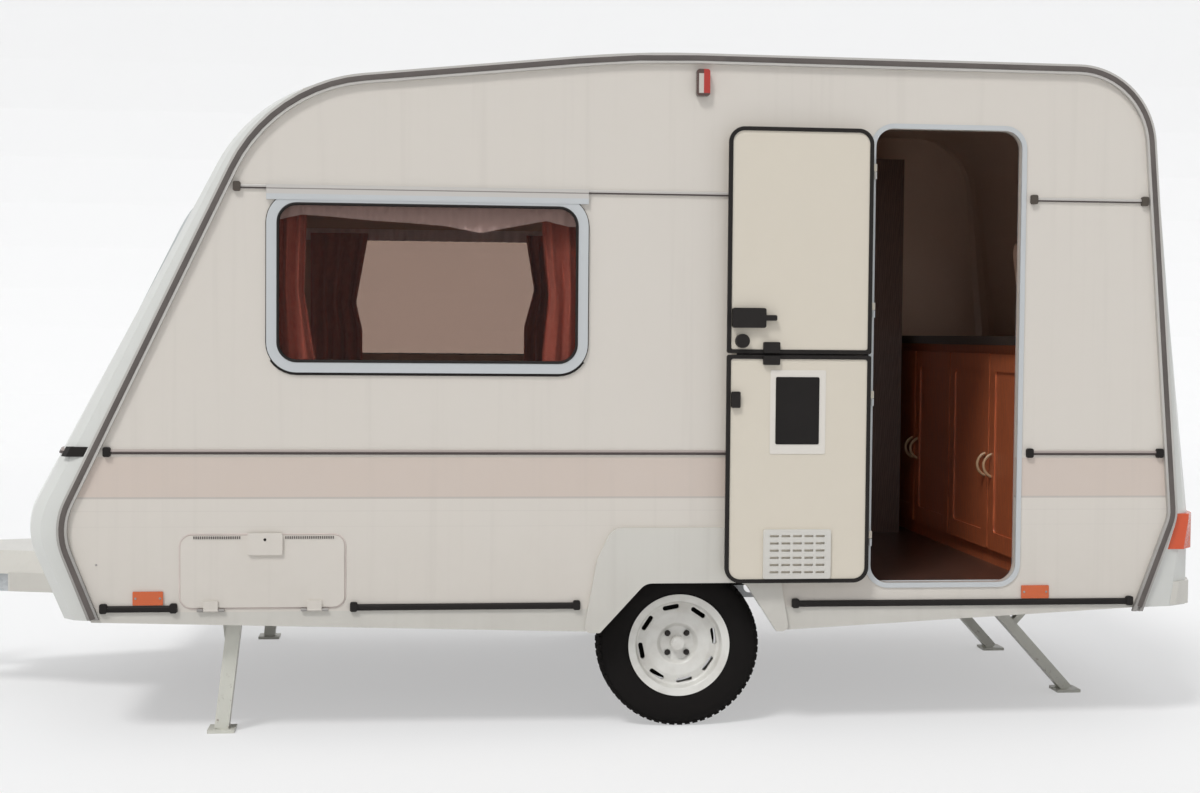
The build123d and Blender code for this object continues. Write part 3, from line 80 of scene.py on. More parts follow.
right, up, ahead = camera_axes(CAMERA_TURN, CAMERA_DIP, CAMERA_ROLL)
camera = new_object("camera", bpy.data.cameras.new("camera"))
camera.matrix_world = Matrix.Translation(CAMERA_PLACE) @ Matrix((right, up, -ahead)).transposed().to_4x4()
camera.data.lens = LENS_MM
camera.data.sensor_width = 36
camera.data.clip_end = 60
bpy.context.scene.camera = camera
print("camera looks along", [round(v, 3) for v in ahead])

# %% [markdown]
# ## A helper for node trees
# Shaders, shader groups and geometry trees are all written alike: a node is added with its values, and
# a value that is another node's socket becomes a link.


# %% The tree helper
class Tree:
    """Adds nodes to a tree and links them by name"""

    def __init__(self, tree):
        self.tree = tree

    def link(self, output, socket):
        self.tree.links.new(output, socket)

    def add(self, kind, values=(), **settings):
        node = self.tree.nodes.new(kind)
        for key, value in settings.items():
            setattr(node, key, value)
        for key, value in dict(values).items():
            if isinstance(value, bpy.types.NodeSocket):
                self.link(value, node.inputs[key])
            else:
                node.inputs[key].default_value = value
        return node

    def math(self, operation, a, b=0.0, c=0.0):
        return self.add("ShaderNodeMath", {0: a, 1: b, 2: c}, operation=operation).outputs[0]

    def times(self, a, b):
        return self.math("MULTIPLY", a, b)

    def vector_math(self, operation, a, b=(0, 0, 0)):
        return self.add("ShaderNodeVectorMath", {0: a, 1: b}, operation=operation).outputs

    def blend(self, factor, a, b):
        return self.add("ShaderNodeMix", {0: factor, 6: a, 7: b}, data_type="RGBA").outputs[2]

    def step(self, value, low, high):
        """0 below low, 1 above high, smooth between"""
        node = self.add("ShaderNodeMapRange", {0: value, 1: low, 2: high, 3: 0.0, 4: 1.0},
                        interpolation_type="SMOOTHSTEP")
        return node.outputs[0]

    def fade(self, value, low, high):
        """1 below low, 0 above high, smooth between"""
        return self.math("SUBTRACT", 1.0, self.step(value, low, high))

    def noise(self, vector, scale, detail=3.0, rough=0.55):
        node = self.add("ShaderNodeTexNoise", {"Vector": vector, "Scale": scale, "Detail": detail,
                                               "Roughness": rough})
        return node.outputs[0]


def node_material(name):
    """New material with an empty tree"""
    material = bpy.data.materials.new(name)
    material.use_nodes = True
    material.node_tree.nodes.clear()
    return material, Tree(material.node_tree)


def plain_mesh(name, verts, edges=(), faces=()):
    mesh = bpy.data.meshes.new(name)
    mesh.from_pydata(verts, edges, faces)
    return mesh


# %% [markdown]
# ## Studio
# A pale floor that runs up into a pale wall has no horizon. What the camera and the mirrors see is
# lightened through Light Path, so the background is white without more light on the caravan, and the
# floor still holds its shadow.


# %% Floor and wall
def seen_ray(t):
    """1 where the camera, a mirror or glass looks"""
    path = t.add("ShaderNodeLightPath").outputs
    direct = t.math("MAXIMUM", path["Is Camera Ray"], path["Is Glossy Ray"])
    return t.math("MAXIMUM", direct, path["Is Transmission Ray"])


def studio_material(name, colour, glow):
    """Matt floor that glows a little where it is seen, and hides nothing from below"""
    material, t = node_material(name)
    matt = t.add("ShaderNodeBsdfDiffuse", {"Color": colour}).outputs[0]
    light = t.add("ShaderNodeEmission", {"Color": (0.97, 0.97, 0.97, 1)}).outputs[0]
    above = t.add("ShaderNodeMixShader", {0: t.times(seen_ray(t), glow), 1: matt, 2: light}).outputs[0]
    below = t.times(t.add("ShaderNodeNewGeometry").outputs["Backfacing"],
                    t.add("ShaderNodeLightPath").outputs["Is Camera Ray"])
    clear = t.add("ShaderNodeBsdfTransparent").outputs[0]
    one_sided = t.add("ShaderNodeMixShader", {0: below, 1: above, 2: clear}).outputs[0]
    t.add("ShaderNodeOutputMaterial", {"Surface": one_sided})
    return material


FLOOR_FRONT, FLOOR_BACK, COVE, STUDIO_HALF, STUDIO_HIGH = 24.0, -16.0, 5.0, 60.0, 30.0
COVE_STEPS, FLOOR_DROP = 12, 0.0005
profile = [(FLOOR_FRONT, 0.0), (FLOOR_BACK + COVE, 0.0)]
for i in range(1, COVE_STEPS + 1):
    angle = math.pi / 2 * i / COVE_STEPS
    profile.append((FLOOR_BACK + COVE - COVE * math.sin(angle), COVE - COVE * math.cos(angle)))
profile.append((FLOOR_BACK, STUDIO_HIGH))
verts = [(x, y, z - FLOOR_DROP) for y, z in profile for x in (STUDIO_HALF, -STUDIO_HALF)]
faces = [(2 * i, 2 * i + 1, 2 * i + 3, 2 * i + 2) for i in range(len(profile) - 1)]
mesh = plain_mesh("studio_floor", verts, faces=faces)
mesh.materials.append(studio_material("studio_floor", (0.86, 0.86, 0.86, 1), 0.45))
new_object("studio_floor", mesh)

# %% World and lamps
world = bpy.data.worlds.new("studio")
world.use_nodes = True
world.node_tree.nodes.clear()
bpy.context.scene.world = world
t = Tree(world.node_tree)
lit = t.add("ShaderNodeBackground", {"Color": (0.97, 0.98, 1.0, 1), "Strength": 0.62}).outputs[0]
white = t.add("ShaderNodeBackground", {"Color": (0.94, 0.94, 0.94, 1)}).outputs[0]
sky = t.add("ShaderNodeMixShader", {0: seen_ray(t), 1: lit, 2: white}).outputs[0]
t.add("ShaderNodeOutputWorld", {"Surface": sky})


def sun(name, towards, strength, spread):
    lamp = bpy.data.lights.new(name, "SUN")
    lamp.energy = strength
    lamp.angle = math.radians(spread)
    holder = new_object(name, lamp)
    holder.rotation_mode = "QUATERNION"
    holder.rotation_quaternion = Vector(towards).to_track_quat("-Z", "Y")


sun("high_sun", (-0.45, -0.62, -1.0), 1.55, 14)
sun("fill_sun", (0.6, 0.7, -0.5), 0.45, 60)
bpy.context.scene.view_settings.view_transform = "Standard"
print("studio stands,", len(faces), "floor faces")

# %% [markdown]
# ## Shader groups
# Effects that several finishes share are built once as node groups: film of road dirt, fine grain,
# sawn wood, woven cloth, and galvanised spangle. A group gives out masks and heights only; the shader
# itself stays in each material, so that the export can read it.

# %% New groups
FLOAT, VECTOR, INTEGER = "NodeSocketFloat", "NodeSocketVector", "NodeSocketInt"


def node_group(kind, name, inputs, outputs):
    """New group with inputs (title, kind, value) and outputs (title, kind)"""
    group = bpy.data.node_groups.new(name, kind)
    for title, socket_kind, value in inputs:
        socket = group.interface.new_socket(title, in_out="INPUT", socket_type=socket_kind)
        if value is not None:
            socket.default_value = value
    for title, socket_kind in outputs:
        group.interface.new_socket(title, in_out="OUTPUT", socket_type=socket_kind)
    return Tree(group), group.nodes.new("NodeGroupInput").outputs, group.nodes.new("NodeGroupOutput").inputs


def shader_group(name, inputs, *outputs):
    """Group over a place in the object, with its own inputs (title, kind, value) and number outputs"""
    return node_group("ShaderNodeTree", name, [("Place", VECTOR, None), *inputs],
                      [(title, FLOAT) for title in outputs])


# %% Road film: dirt that thickens towards the ground and gathers in cloudy patches
t, given, result = shader_group(
    "road_film", [("Clean above", FLOAT, 1.0), ("Amount", FLOAT, 0.3)], "Mask", "Streaks")
height = t.add("ShaderNodeSeparateXYZ", {0: given["Place"]}).outputs[2]
patches = t.noise(given["Place"], 5.0, 5.0, 0.65)
stretched = t.add("ShaderNodeMapping", {0: given["Place"], "Scale": (26.0, 26.0, 0.7)}).outputs[0]
streaks = t.step(t.noise(stretched, 1.0, 2.0), 0.52, 0.8)
low_patches = t.times(t.fade(height, 0.1, given["Clean above"]), patches)
t.link(t.times(low_patches, given["Amount"]), result["Mask"])
t.link(t.times(streaks, given["Amount"]), result["Streaks"])

# %% Fine grain: small height changes of moulded plastic, rubber and painted sheet
t, given, result = shader_group(
    "fine_grain", [("Scale", FLOAT, 900.0), ("Waviness", FLOAT, 0.3)], "Height", "Cloud")
grain = t.noise(given["Place"], given["Scale"], 2.0, 0.6)
wave = t.noise(given["Place"], 3.0, 2.0, 0.5)
t.link(t.math("MULTIPLY_ADD", wave, given["Waviness"], grain), result["Height"])
t.link(t.noise(given["Place"], 9.0, 4.0, 0.6), result["Cloud"])

# %% Sawn wood: long grain lines with a slow drift of colour
t, given, result = shader_group(
    "sawn_wood", [("Stretch", VECTOR, (14.0, 14.0, 0.9)), ("Lines", FLOAT, 5.0)], "Grain", "Pores")
along_grain = t.add("ShaderNodeMapping", {0: given["Place"], "Scale": given["Stretch"]}).outputs[0]
wave = t.add("ShaderNodeTexWave", {"Vector": along_grain, "Scale": given["Lines"], "Distortion": 6.0,
                                   "Detail": 3.0, "Detail Scale": 1.4}, bands_direction="DIAGONAL").outputs[1]
fleck = t.noise(along_grain, 22.0, 3.0, 0.7)
t.link(t.math("MULTIPLY_ADD", wave, 0.7, t.times(fleck, 0.3)), result["Grain"])
t.link(t.step(fleck, 0.55, 0.75), result["Pores"])

# %% Woven cloth: warp and weft as two crossed waves
t, given, result = shader_group("woven_cloth", [("Threads", FLOAT, 700.0)], "Height", "Slub")
x, y, z = t.add("ShaderNodeSeparateXYZ", {0: given["Place"]}).outputs
warp = t.math("SINE", t.times(t.math("ADD", x, y), given["Threads"]))
weft = t.math("SINE", t.times(z, given["Threads"]))
t.link(t.math("MULTIPLY_ADD", t.times(warp, weft), 0.5, 0.5), result["Height"])
t.link(t.noise(given["Place"], 60.0, 4.0, 0.7), result["Slub"])

# %% Spangle: the frosty crystals of hot-dip galvanised steel
t, given, result = shader_group("spangle", [("Scale", FLOAT, 60.0)], "Crystal", "Height")
cells = t.add("ShaderNodeTexVoronoi", {"Vector": given["Place"], "Scale": given["Scale"]})
tone = t.add("ShaderNodeSeparateXYZ", {0: cells.outputs["Color"]}).outputs[0]
t.link(t.math("MULTIPLY_ADD", t.noise(given["Place"], 14.0, 4.0), 0.6, t.times(tone, 0.4)), result["Crystal"])
t.link(cells.outputs["Distance"], result["Height"])
print(len(bpy.data.node_groups), "shader groups")

# %% [markdown]
# ## Finishes
# Each finish is a few lines over the same skeleton: a Principled shader fed by object coordinates.
# Coat and metal are plain numbers on the shader; what varies over the surface is colour, roughness
# and bump. Only the trim strips' metal varies too, since their insert has none.


# %% The skeleton of a finish
def rgb(r, g, b):
    return (r, g, b, 1.0)


def darker(colour, share):
    return rgb(*(c * share for c in colour[:3]))


class Finish(Tree):
    """A material with a Principled shader, and the object coordinates at hand"""

    def __init__(self, name, sockets):
        self.material, empty_tree = node_material(name)
        super().__init__(empty_tree.tree)
        self.shader = self.add("ShaderNodeBsdfPrincipled", sockets)
        self.out = self.add("ShaderNodeOutputMaterial", {"Surface": self.shader.outputs[0]})
        self.place = self.add("ShaderNodeTexCoord").outputs["Object"]
        self.x, self.y, self.z = self.add("ShaderNodeSeparateXYZ", {0: self.place}).outputs

    def group(self, name, **values):
        """Outputs of a shader group over the object coordinates"""
        named = {key.replace("_", " ").capitalize(): value for key, value in values.items()}
        return self.add("ShaderNodeGroup", {"Place": self.place, **named},
                        node_tree=bpy.data.node_groups[name]).outputs

    def surface(self, colour, wear=None, rough=(), height=None, strength=0.0, distance=0.0):
        """Links colour, roughness as (share of the wear, least), and the bump of a height"""
        self.link(colour, self.shader.inputs["Base Color"])
        if wear is not None:
            self.link(self.math("MULTIPLY_ADD", wear, *rough), self.shader.inputs["Roughness"])
        if height is not None:
            bump = self.add("ShaderNodeBump", {"Strength": strength, "Distance": distance, "Height": height})
            self.link(bump.outputs[0], self.shader.inputs["Normal"])
        return self.material


# %% [markdown]
# ### Painted body sheet
# The sides are painted aluminium sheet: pale, slightly warm, faintly wavy between its fixings. Below
# the belt strip runs a broad beige-pink stripe with thin lines under it, all a matter of height, so
# the stripe is cut out of the Z coordinate. Inside faces carry the cabin's lining instead.

# %% Body sheet
SHELL = rgb(0.645, 0.600, 0.540)
STRIPE = rgb(0.590, 0.500, 0.435)
LINING, UNDERSEAL = rgb(0.640, 0.455, 0.345), rgb(0.050, 0.047, 0.044)
FLOOR_LEVEL, WALL_MIDDLE = 0.47, 1.027
STRIPE_LOW, STRIPE_HIGH, EDGE = 0.852, 0.994, 0.001
# height, half width, strength
THIN_LINES = ((0.8495, 0.0035, 0.50), (0.803, 0.002, 0.10), (0.748, 0.002, 0.06))


def film_over(f, colour, clean_above, amount):
    """Adds the road film and rain streaks to a colour"""
    film = f.group("road_film", clean_above=clean_above, amount=amount)
    dirty = f.blend(film["Mask"], colour, rgb(0.23, 0.20, 0.165))
    return f.blend(f.times(film["Streaks"], 0.35), dirty, rgb(0.42, 0.39, 0.35))


def inside_colour(f):
    """Lining above the floor, underseal below it"""
    return f.blend(f.step(f.z, FLOOR_LEVEL - 0.002, FLOOR_LEVEL), UNDERSEAL, LINING)


f = Finish("body_sheet", {"Coat Weight": 0.25, "Coat Roughness": 0.18, "IOR": 1.5})
grain = f.group("fine_grain", scale=420.0, waviness=2.2)
striped = f.times(f.step(f.z, STRIPE_LOW - EDGE, STRIPE_LOW + EDGE),
                  f.fade(f.z, STRIPE_HIGH - EDGE, STRIPE_HIGH + EDGE))
colour = f.blend(striped, SHELL, STRIPE)
for level, half, depth in THIN_LINES:
    near = f.math("COMPARE", f.z, level, half)
    colour = f.blend(f.times(near, depth), colour, rgb(0.33, 0.29, 0.27))
colour = f.blend(f.times(grain["Cloud"], 0.10), colour, rgb(0.60, 0.60, 0.60))
outside = f.step(f.math("ABSOLUTE", f.y), WALL_MIDDLE - EDGE, WALL_MIDDLE + EDGE)
colour = f.blend(outside, inside_colour(f), film_over(f, colour, 0.95, 0.30))
body_sheet = f.surface(colour, grain["Cloud"], (0.16, 0.30), grain["Height"], 0.10, 0.002)

# %% [markdown]
# ### Moulded ends, roof and skirts
# Front and rear are glass-fibre mouldings with a glossy gel coat, a cooler white than the sides. The
# inner side of such a shell shows where the surface looks towards the middle of the cabin, which the
# dot product of the normal and the place tells.


# %% Gel coat
def gel_coat(name, base, middle=None, amount=0.25, clean_above=0.95):
    f = Finish(name, {"Coat Weight": 0.3, "Coat Roughness": 0.22, "IOR": 1.46})
    grain = f.group("fine_grain", scale=11.0, waviness=2.0)
    colour = f.blend(f.times(grain["Cloud"], 0.08), base, rgb(0.56, 0.57, 0.56))
    colour = film_over(f, colour, clean_above, amount)
    if middle:
        outward = f.vector_math("SUBTRACT", f.place, middle)[0]
        facing = f.add("ShaderNodeNewGeometry").outputs["Normal"]
        dot = f.vector_math("DOT_PRODUCT", outward, facing)["Value"]
        colour = f.blend(f.step(dot, -0.02, 0.02), inside_colour(f), colour)
    return f.surface(colour, grain["Cloud"], (0.12, 0.26), grain["Height"], 0.05, 0.002)


end_moulding = gel_coat("end_moulding", rgb(0.615, 0.620, 0.590), middle=(-0.6, 0.0, 1.3))
roof_sheet = gel_coat("roof_sheet", rgb(0.62, 0.61, 0.58), middle=(-0.6, 0.0, 1.0), amount=0.1)
skirt_moulding = gel_coat("skirt_moulding", rgb(0.600, 0.580, 0.530), amount=0.45, clean_above=0.85)
small_moulding = gel_coat("small_moulding", rgb(0.62, 0.60, 0.555), amount=0.3)
pale_moulding = gel_coat("pale_moulding", rgb(0.70, 0.66, 0.60), amount=0.2)

# %% Door lining
f = Finish("door_lining", {"IOR": 1.48, "Coat Weight": 0.15, "Coat Roughness": 0.3})
grain = f.group("fine_grain", scale=500.0, waviness=1.4)
colour = f.blend(f.times(grain["Cloud"], 0.3), rgb(0.655, 0.600, 0.505), rgb(0.60, 0.54, 0.45))
door_lining = f.surface(colour, grain["Cloud"], (0.2, 0.34), grain["Height"], 0.12, 0.001)

# %% [markdown]
# ### Metals, rubber and plastics
# Aluminium rails are dull with fine drawn lines; galvanised steel shows its crystals; black plastic
# and rubber have a grain and patches of grey dust.


# %% Aluminium rails and strips
BELT_INSERT, UPPER_INSERT = (1.0075, 0.0045), (1.9355, 0.0028)  # height, half width
UPPER_FROM = (1.4, 1.5)  # between these heights the belt's tones give way to the upper ones


def drawn_alloy(name, base, rough, metallic, over):
    """Dull alloy with fine drawn lines; over(f, colour) lays its own colours on it"""
    f = Finish(name, {"Metallic": metallic, "IOR": 1.45})
    lines = f.add("ShaderNodeMapping", {0: f.place, "Scale": (3.0, 900.0, 900.0)}).outputs[0]
    drawn = f.noise(lines, 1.0, 2.0)
    cloud = f.group("fine_grain", scale=300.0)["Cloud"]
    colour = f.blend(f.times(cloud, 0.35), base, darker(base, 0.6))
    return f.surface(over(f, colour), drawn, (0.15, rough), drawn, 0.05, 0.0005)


def low_film(f, colour):
    film = f.group("road_film", clean_above=1.15, amount=1.3)["Mask"]
    return f.blend(film, colour, rgb(0.115, 0.105, 0.100))


def strip_colours(f, colour):
    toned = f.blend(f.step(f.z, *UPPER_FROM), rgb(0.330, 0.275, 0.255), rgb(0.50, 0.48, 0.45))
    insert = f.math("MAXIMUM", f.math("COMPARE", f.z, *BELT_INSERT), f.math("COMPARE", f.z, *UPPER_INSERT))
    f.link(f.times(f.math("SUBTRACT", 1.0, insert), 0.15), f.shader.inputs["Metallic"])
    return f.blend(insert, f.blend(0.85, colour, toned), rgb(0.060, 0.045, 0.042))


rail_alloy = drawn_alloy("rail_alloy", rgb(0.54, 0.52, 0.49), 0.42, 0.2, low_film)
strip_alloy = drawn_alloy("strip_alloy", rgb(0.50, 0.47, 0.44), 0.46, 0.75, strip_colours)

# %% Window frames: pale anodised alloy, with the header of the side windows a little warmer
HEADER_FACE, HEADER_FROM, HEADER_LINE = (1.0632, 1.0636), (1.914, 1.918), (1.9345, 0.0020)
f = Finish("window_alloy", {"Metallic": 0.1, "IOR": 1.4, "Coat Weight": 0.15})
cloud = f.group("fine_grain", scale=500.0)
colour = f.blend(f.times(cloud["Cloud"], 0.25), rgb(0.530, 0.550, 0.560), rgb(0.46, 0.47, 0.47))
on_header = f.times(f.step(f.math("ABSOLUTE", f.y), *HEADER_FACE), f.step(f.z, *HEADER_FROM))
colour = f.blend(on_header, colour, rgb(0.545, 0.520, 0.490))
header_line = f.times(on_header, f.math("COMPARE", f.z, *HEADER_LINE))
colour = f.blend(f.times(header_line, 0.7), colour, rgb(0.13, 0.11, 0.10))
window_alloy = f.surface(colour, cloud["Cloud"], (0.15, 0.28), cloud["Height"], 0.05, 0.0005)

# %% Painted and galvanised steel
f = Finish("painted_steel", {"IOR": 1.45, "Coat Weight": 0.2, "Coat Roughness": 0.3})
cloud = f.group("fine_grain", scale=300.0, waviness=1.0)
rust = f.times(f.step(f.noise(f.place, 55.0, 5.0, 0.7), 0.60, 0.68), f.fade(f.z, 0.02, 0.30))
colour = f.blend(f.times(cloud["Cloud"], 0.4), rgb(0.63, 0.625, 0.555), rgb(0.46, 0.46, 0.42))
colour = f.blend(f.times(rust, 0.7), colour, rgb(0.13, 0.06, 0.03))
pitted = f.math("MULTIPLY_ADD", rust, -0.6, cloud["Height"])
painted_steel = f.surface(colour, cloud["Cloud"], (0.25, 0.34), pitted, 0.15, 0.0006)

f = Finish("galvanised", {"Metallic": 0.55, "IOR": 1.45})
crystal = f.group("spangle", scale=70.0)
colour = f.blend(crystal["Crystal"], rgb(0.36, 0.38, 0.39), rgb(0.66, 0.68, 0.69))
film = f.group("road_film", clean_above=0.5, amount=0.5)["Mask"]
colour = f.blend(film, colour, rgb(0.17, 0.13, 0.10))
galvanised = f.surface(colour, crystal["Crystal"], (0.25, 0.38), crystal["Height"], 0.08, 0.0008)


# %% Black plastic, rubber and tyre
def black(name, tone, dust, rough, grain_scale, depth, high_tone=None):
    f = Finish(name, {"IOR": 1.25})
    grain = f.group("fine_grain", scale=grain_scale, waviness=0.5)
    pale = rgb(tone * 2.4 + 0.012, tone * 2.1 + 0.010, tone * 1.9 + 0.009)
    colour = f.blend(f.times(grain["Cloud"], dust), rgb(tone, tone * 0.88, tone * 0.84), pale)
    if high_tone:
        colour = f.blend(f.step(f.z, *UPPER_FROM), colour, high_tone)
    return f.surface(colour, grain["Cloud"], (0.2, rough), grain["Height"], 0.25, depth)


black_plastic = black("black_plastic", 0.014, 0.35, 0.40, 1400.0, 0.0004)
strip_plastic = black("strip_plastic", 0.012, 0.30, 0.42, 900.0, 0.0004, high_tone=rgb(0.085, 0.072, 0.060))
seal_rubber = black("seal_rubber", 0.014, 0.35, 0.55, 900.0, 0.0004)
rail_vinyl = black("rail_vinyl", 0.085, 0.60, 0.50, 900.0, 0.0004)
pale_rubber = black("pale_rubber", 0.420, 0.50, 0.55, 900.0, 0.0004)
tyre_rubber = black("tyre_rubber", 0.006, 0.25, 0.80, 500.0, 0.0008)
black_steel = black("black_steel", 0.020, 0.30, 0.30, 700.0, 0.0003)

# %% Jockey wheel: black rubber round a grey hub, told apart by the distance from the pin
RUBBER_FROM = (0.0665, 0.0680)
f = Finish("jockey_rubber", {"IOR": 1.3})
low_corner, high_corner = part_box("jockey_wheel")
hub = (low_corner + high_corner) / 2
across_hub = f.add("ShaderNodeCombineXYZ", {0: f.math("SUBTRACT", f.x, hub.x),
                                            2: f.math("SUBTRACT", f.z, hub.z)}).outputs[0]
from_hub = f.vector_math("LENGTH", across_hub)["Value"]
cloud = f.group("fine_grain", scale=700.0, waviness=0.5)
colour = f.blend(f.step(from_hub, *RUBBER_FROM), rgb(0.42, 0.43, 0.43), rgb(0.008, 0.007, 0.007))
jockey_rubber = f.surface(colour, cloud["Cloud"], (0.25, 0.50), cloud["Height"], 0.2, 0.0005)

# %% [markdown]
# ### Glass, lenses and the roof light
# The panes are brown-tinted acrylic. Light from lamps goes through them by a Transparent shader, so
# the cabin is lit, while the camera sees the Principled glass with its reflections.


# %% Tinted pane
def clear_finish(name, tint, rough, lamp_tint):
    f = Finish(name, {"Transmission Weight": 1.0, "IOR": 1.18, "Roughness": rough})
    veil = f.group("fine_grain", scale=40.0)["Cloud"]
    material = f.surface(f.blend(f.times(veil, 0.12), tint, darker(tint, 0.85)))
    through = f.add("ShaderNodeBsdfTransparent", {"Color": lamp_tint}).outputs[0]
    lamp_ray = f.add("ShaderNodeLightPath").outputs["Is Shadow Ray"]
    mix = f.add("ShaderNodeMixShader", {0: lamp_ray, 1: f.shader.outputs[0], 2: through}).outputs[0]
    f.link(mix, f.out.inputs["Surface"])
    return material


tinted_pane = clear_finish("tinted_pane", rgb(0.53, 0.44, 0.395), 0.015, rgb(0.92, 0.89, 0.88))
opal_lid = clear_finish("opal_lid", rgb(0.80, 0.82, 0.82), 0.25, rgb(0.75, 0.77, 0.78))

# %% Lamp lenses: one node holds all lamps, so place chooses the colour
AMBER, ORANGE, RED = rgb(0.640, 0.120, 0.026), rgb(0.700, 0.085, 0.018), rgb(0.460, 0.020, 0.016)
CLEAR, HOUSING = rgb(0.62, 0.60, 0.55), rgb(0.055, 0.040, 0.036)
MARKER_FROM, CLUSTER_SPLIT, TAIL_FROM = (1.6, 1.7), (0.904, 0.906), (2.55, 2.56)
CLEAR_TOP, CLEAR_FRONT = (2.3655, 2.3675), (-0.8540, -0.8520)
HOUSING_FRONT, HOUSING_FOOT = (-0.8360, -0.8350), (2.2960, 2.2980)
CELLS = 1400.0
f = Finish("lamp_lens", {"IOR": 1.45, "Coat Weight": 0.3, "Coat Roughness": 0.05, "Roughness": 0.18})
marker = f.blend(f.step(f.x, *CLEAR_FRONT), RED, f.blend(f.step(f.z, *CLEAR_TOP), CLEAR, HOUSING))
marker = f.blend(f.step(f.x, *HOUSING_FRONT), marker, HOUSING)
marker = f.blend(f.step(f.z, *HOUSING_FOOT), HOUSING, marker)
cluster = f.blend(f.step(f.math("ABSOLUTE", f.y), *CLUSTER_SPLIT), RED, ORANGE)
low_lamps = f.blend(f.step(f.times(f.x, -1.0), *TAIL_FROM), AMBER, cluster)
colour = f.blend(f.step(f.z, *MARKER_FROM), low_lamps, marker)
cells = f.times(f.math("SINE", f.times(f.math("ADD", f.x, f.y), CELLS)), f.math("SINE", f.times(f.z, CELLS)))
colour = f.blend(f.math("MULTIPLY_ADD", cells, 0.14, 0.14), colour, rgb(0.25, 0.05, 0.02))
lamp_lens = f.surface(colour, height=cells, strength=0.5, distance=0.0008)

# %% [markdown]
# ### Wood, worktop, cloth
# The fitted furniture is a red-brown veneer. The offside cupboard gets a much darker copy of it, painted
# shade for the dim corner it stands in. The pulls on the doors are pale, and stand proud of the kitchen's
# front, so depth picks them out.


# %% Veneers
PULL_DEPTH, KITCHEN_FROM = (-2.1133, -2.1130), (1.9, 1.91)


def veneer(name, dark, light, stretch=(14.0, 14.0, 0.9), pulls=None):
    """Veneer; pulls is the colour of what stands proud of the kitchen's front"""
    f = Finish(name, {"IOR": 1.5, "Coat Weight": 0.35, "Coat Roughness": 0.22})
    grain = f.group("sawn_wood", stretch=stretch)
    wood = f.blend(grain["Grain"], dark, light)
    colour = f.blend(f.times(grain["Pores"], 0.4), wood, darker(dark, 0.5))
    if pulls:
        on_pull = f.times(f.step(f.x, *PULL_DEPTH), f.step(f.times(f.x, -1.0), *KITCHEN_FROM))
        colour = f.blend(on_pull, colour, pulls)
    return f.surface(colour, grain["Grain"], (0.15, 0.32), grain["Grain"], 0.12, 0.0006)


furniture_wood = veneer("furniture_wood", rgb(0.340, 0.078, 0.030), rgb(0.640, 0.175, 0.066),
                        pulls=rgb(0.46, 0.30, 0.17))
# The same veneer much darker for the offside cupboard: painted shade, not a darker wood
cupboard_wood = veneer("cupboard_wood", rgb(0.070, 0.036, 0.026), rgb(0.140, 0.080, 0.058))
floor_board = veneer("floor_board", rgb(0.050, 0.022, 0.016), rgb(0.095, 0.050, 0.036), (1.2, 16.0, 16.0))

f = Finish("worktop_laminate", {"IOR": 1.5, "Coat Weight": 0.5, "Coat Roughness": 0.15})
speck = f.step(f.noise(f.place, 380.0, 2.0), 0.58, 0.66)
colour = f.blend(speck, rgb(0.035, 0.026, 0.022), rgb(0.14, 0.12, 0.10))
worktop_laminate = f.surface(colour, speck, (0.1, 0.28))


# %% Cloths
def cloth(name, dark, light, threads, sheen):
    f = Finish(name, {"IOR": 1.4, "Sheen Weight": sheen, "Sheen Roughness": 0.5})
    weave = f.group("woven_cloth", threads=threads)
    colour = f.blend(weave["Slub"], dark, light)
    return f.surface(colour, weave["Height"], (0.1, 0.80), weave["Height"], 0.35, 0.0006)


curtain_cloth = cloth("curtain_cloth", rgb(0.330, 0.060, 0.045), rgb(0.640, 0.230, 0.180), 1500.0, 0.3)
pelmet_cloth = cloth("pelmet_cloth", rgb(0.900, 0.860, 0.960), rgb(0.960, 0.930, 0.990), 1500.0, 0.6)
seat_cloth = cloth("seat_cloth", rgb(0.190, 0.100, 0.095), rgb(0.360, 0.215, 0.190), 1100.0, 0.4)
piping_cloth = cloth("piping_cloth", rgb(0.10, 0.045, 0.045), rgb(0.16, 0.075, 0.07), 2600.0, 0.2)

# %% Wheel paint, with patches of dust
f = Finish("wheel_paint", {"IOR": 1.5, "Coat Weight": 0.4, "Coat Roughness": 0.15})
cloud = f.group("fine_grain", scale=500.0, waviness=0.6)
dirt = f.step(cloud["Cloud"], 0.35, 0.85)
colour = f.blend(f.times(dirt, 0.45), rgb(0.70, 0.69, 0.65), rgb(0.36, 0.32, 0.27))
wheel_paint = f.surface(colour, cloud["Cloud"], (0.2, 0.25), cloud["Height"], 0.08, 0.0006)
print(len(bpy.data.materials), "materials")

# %% [markdown]
# ## Dress the drawn nodes
# A drawn node keeps its mesh; only its material slots change.

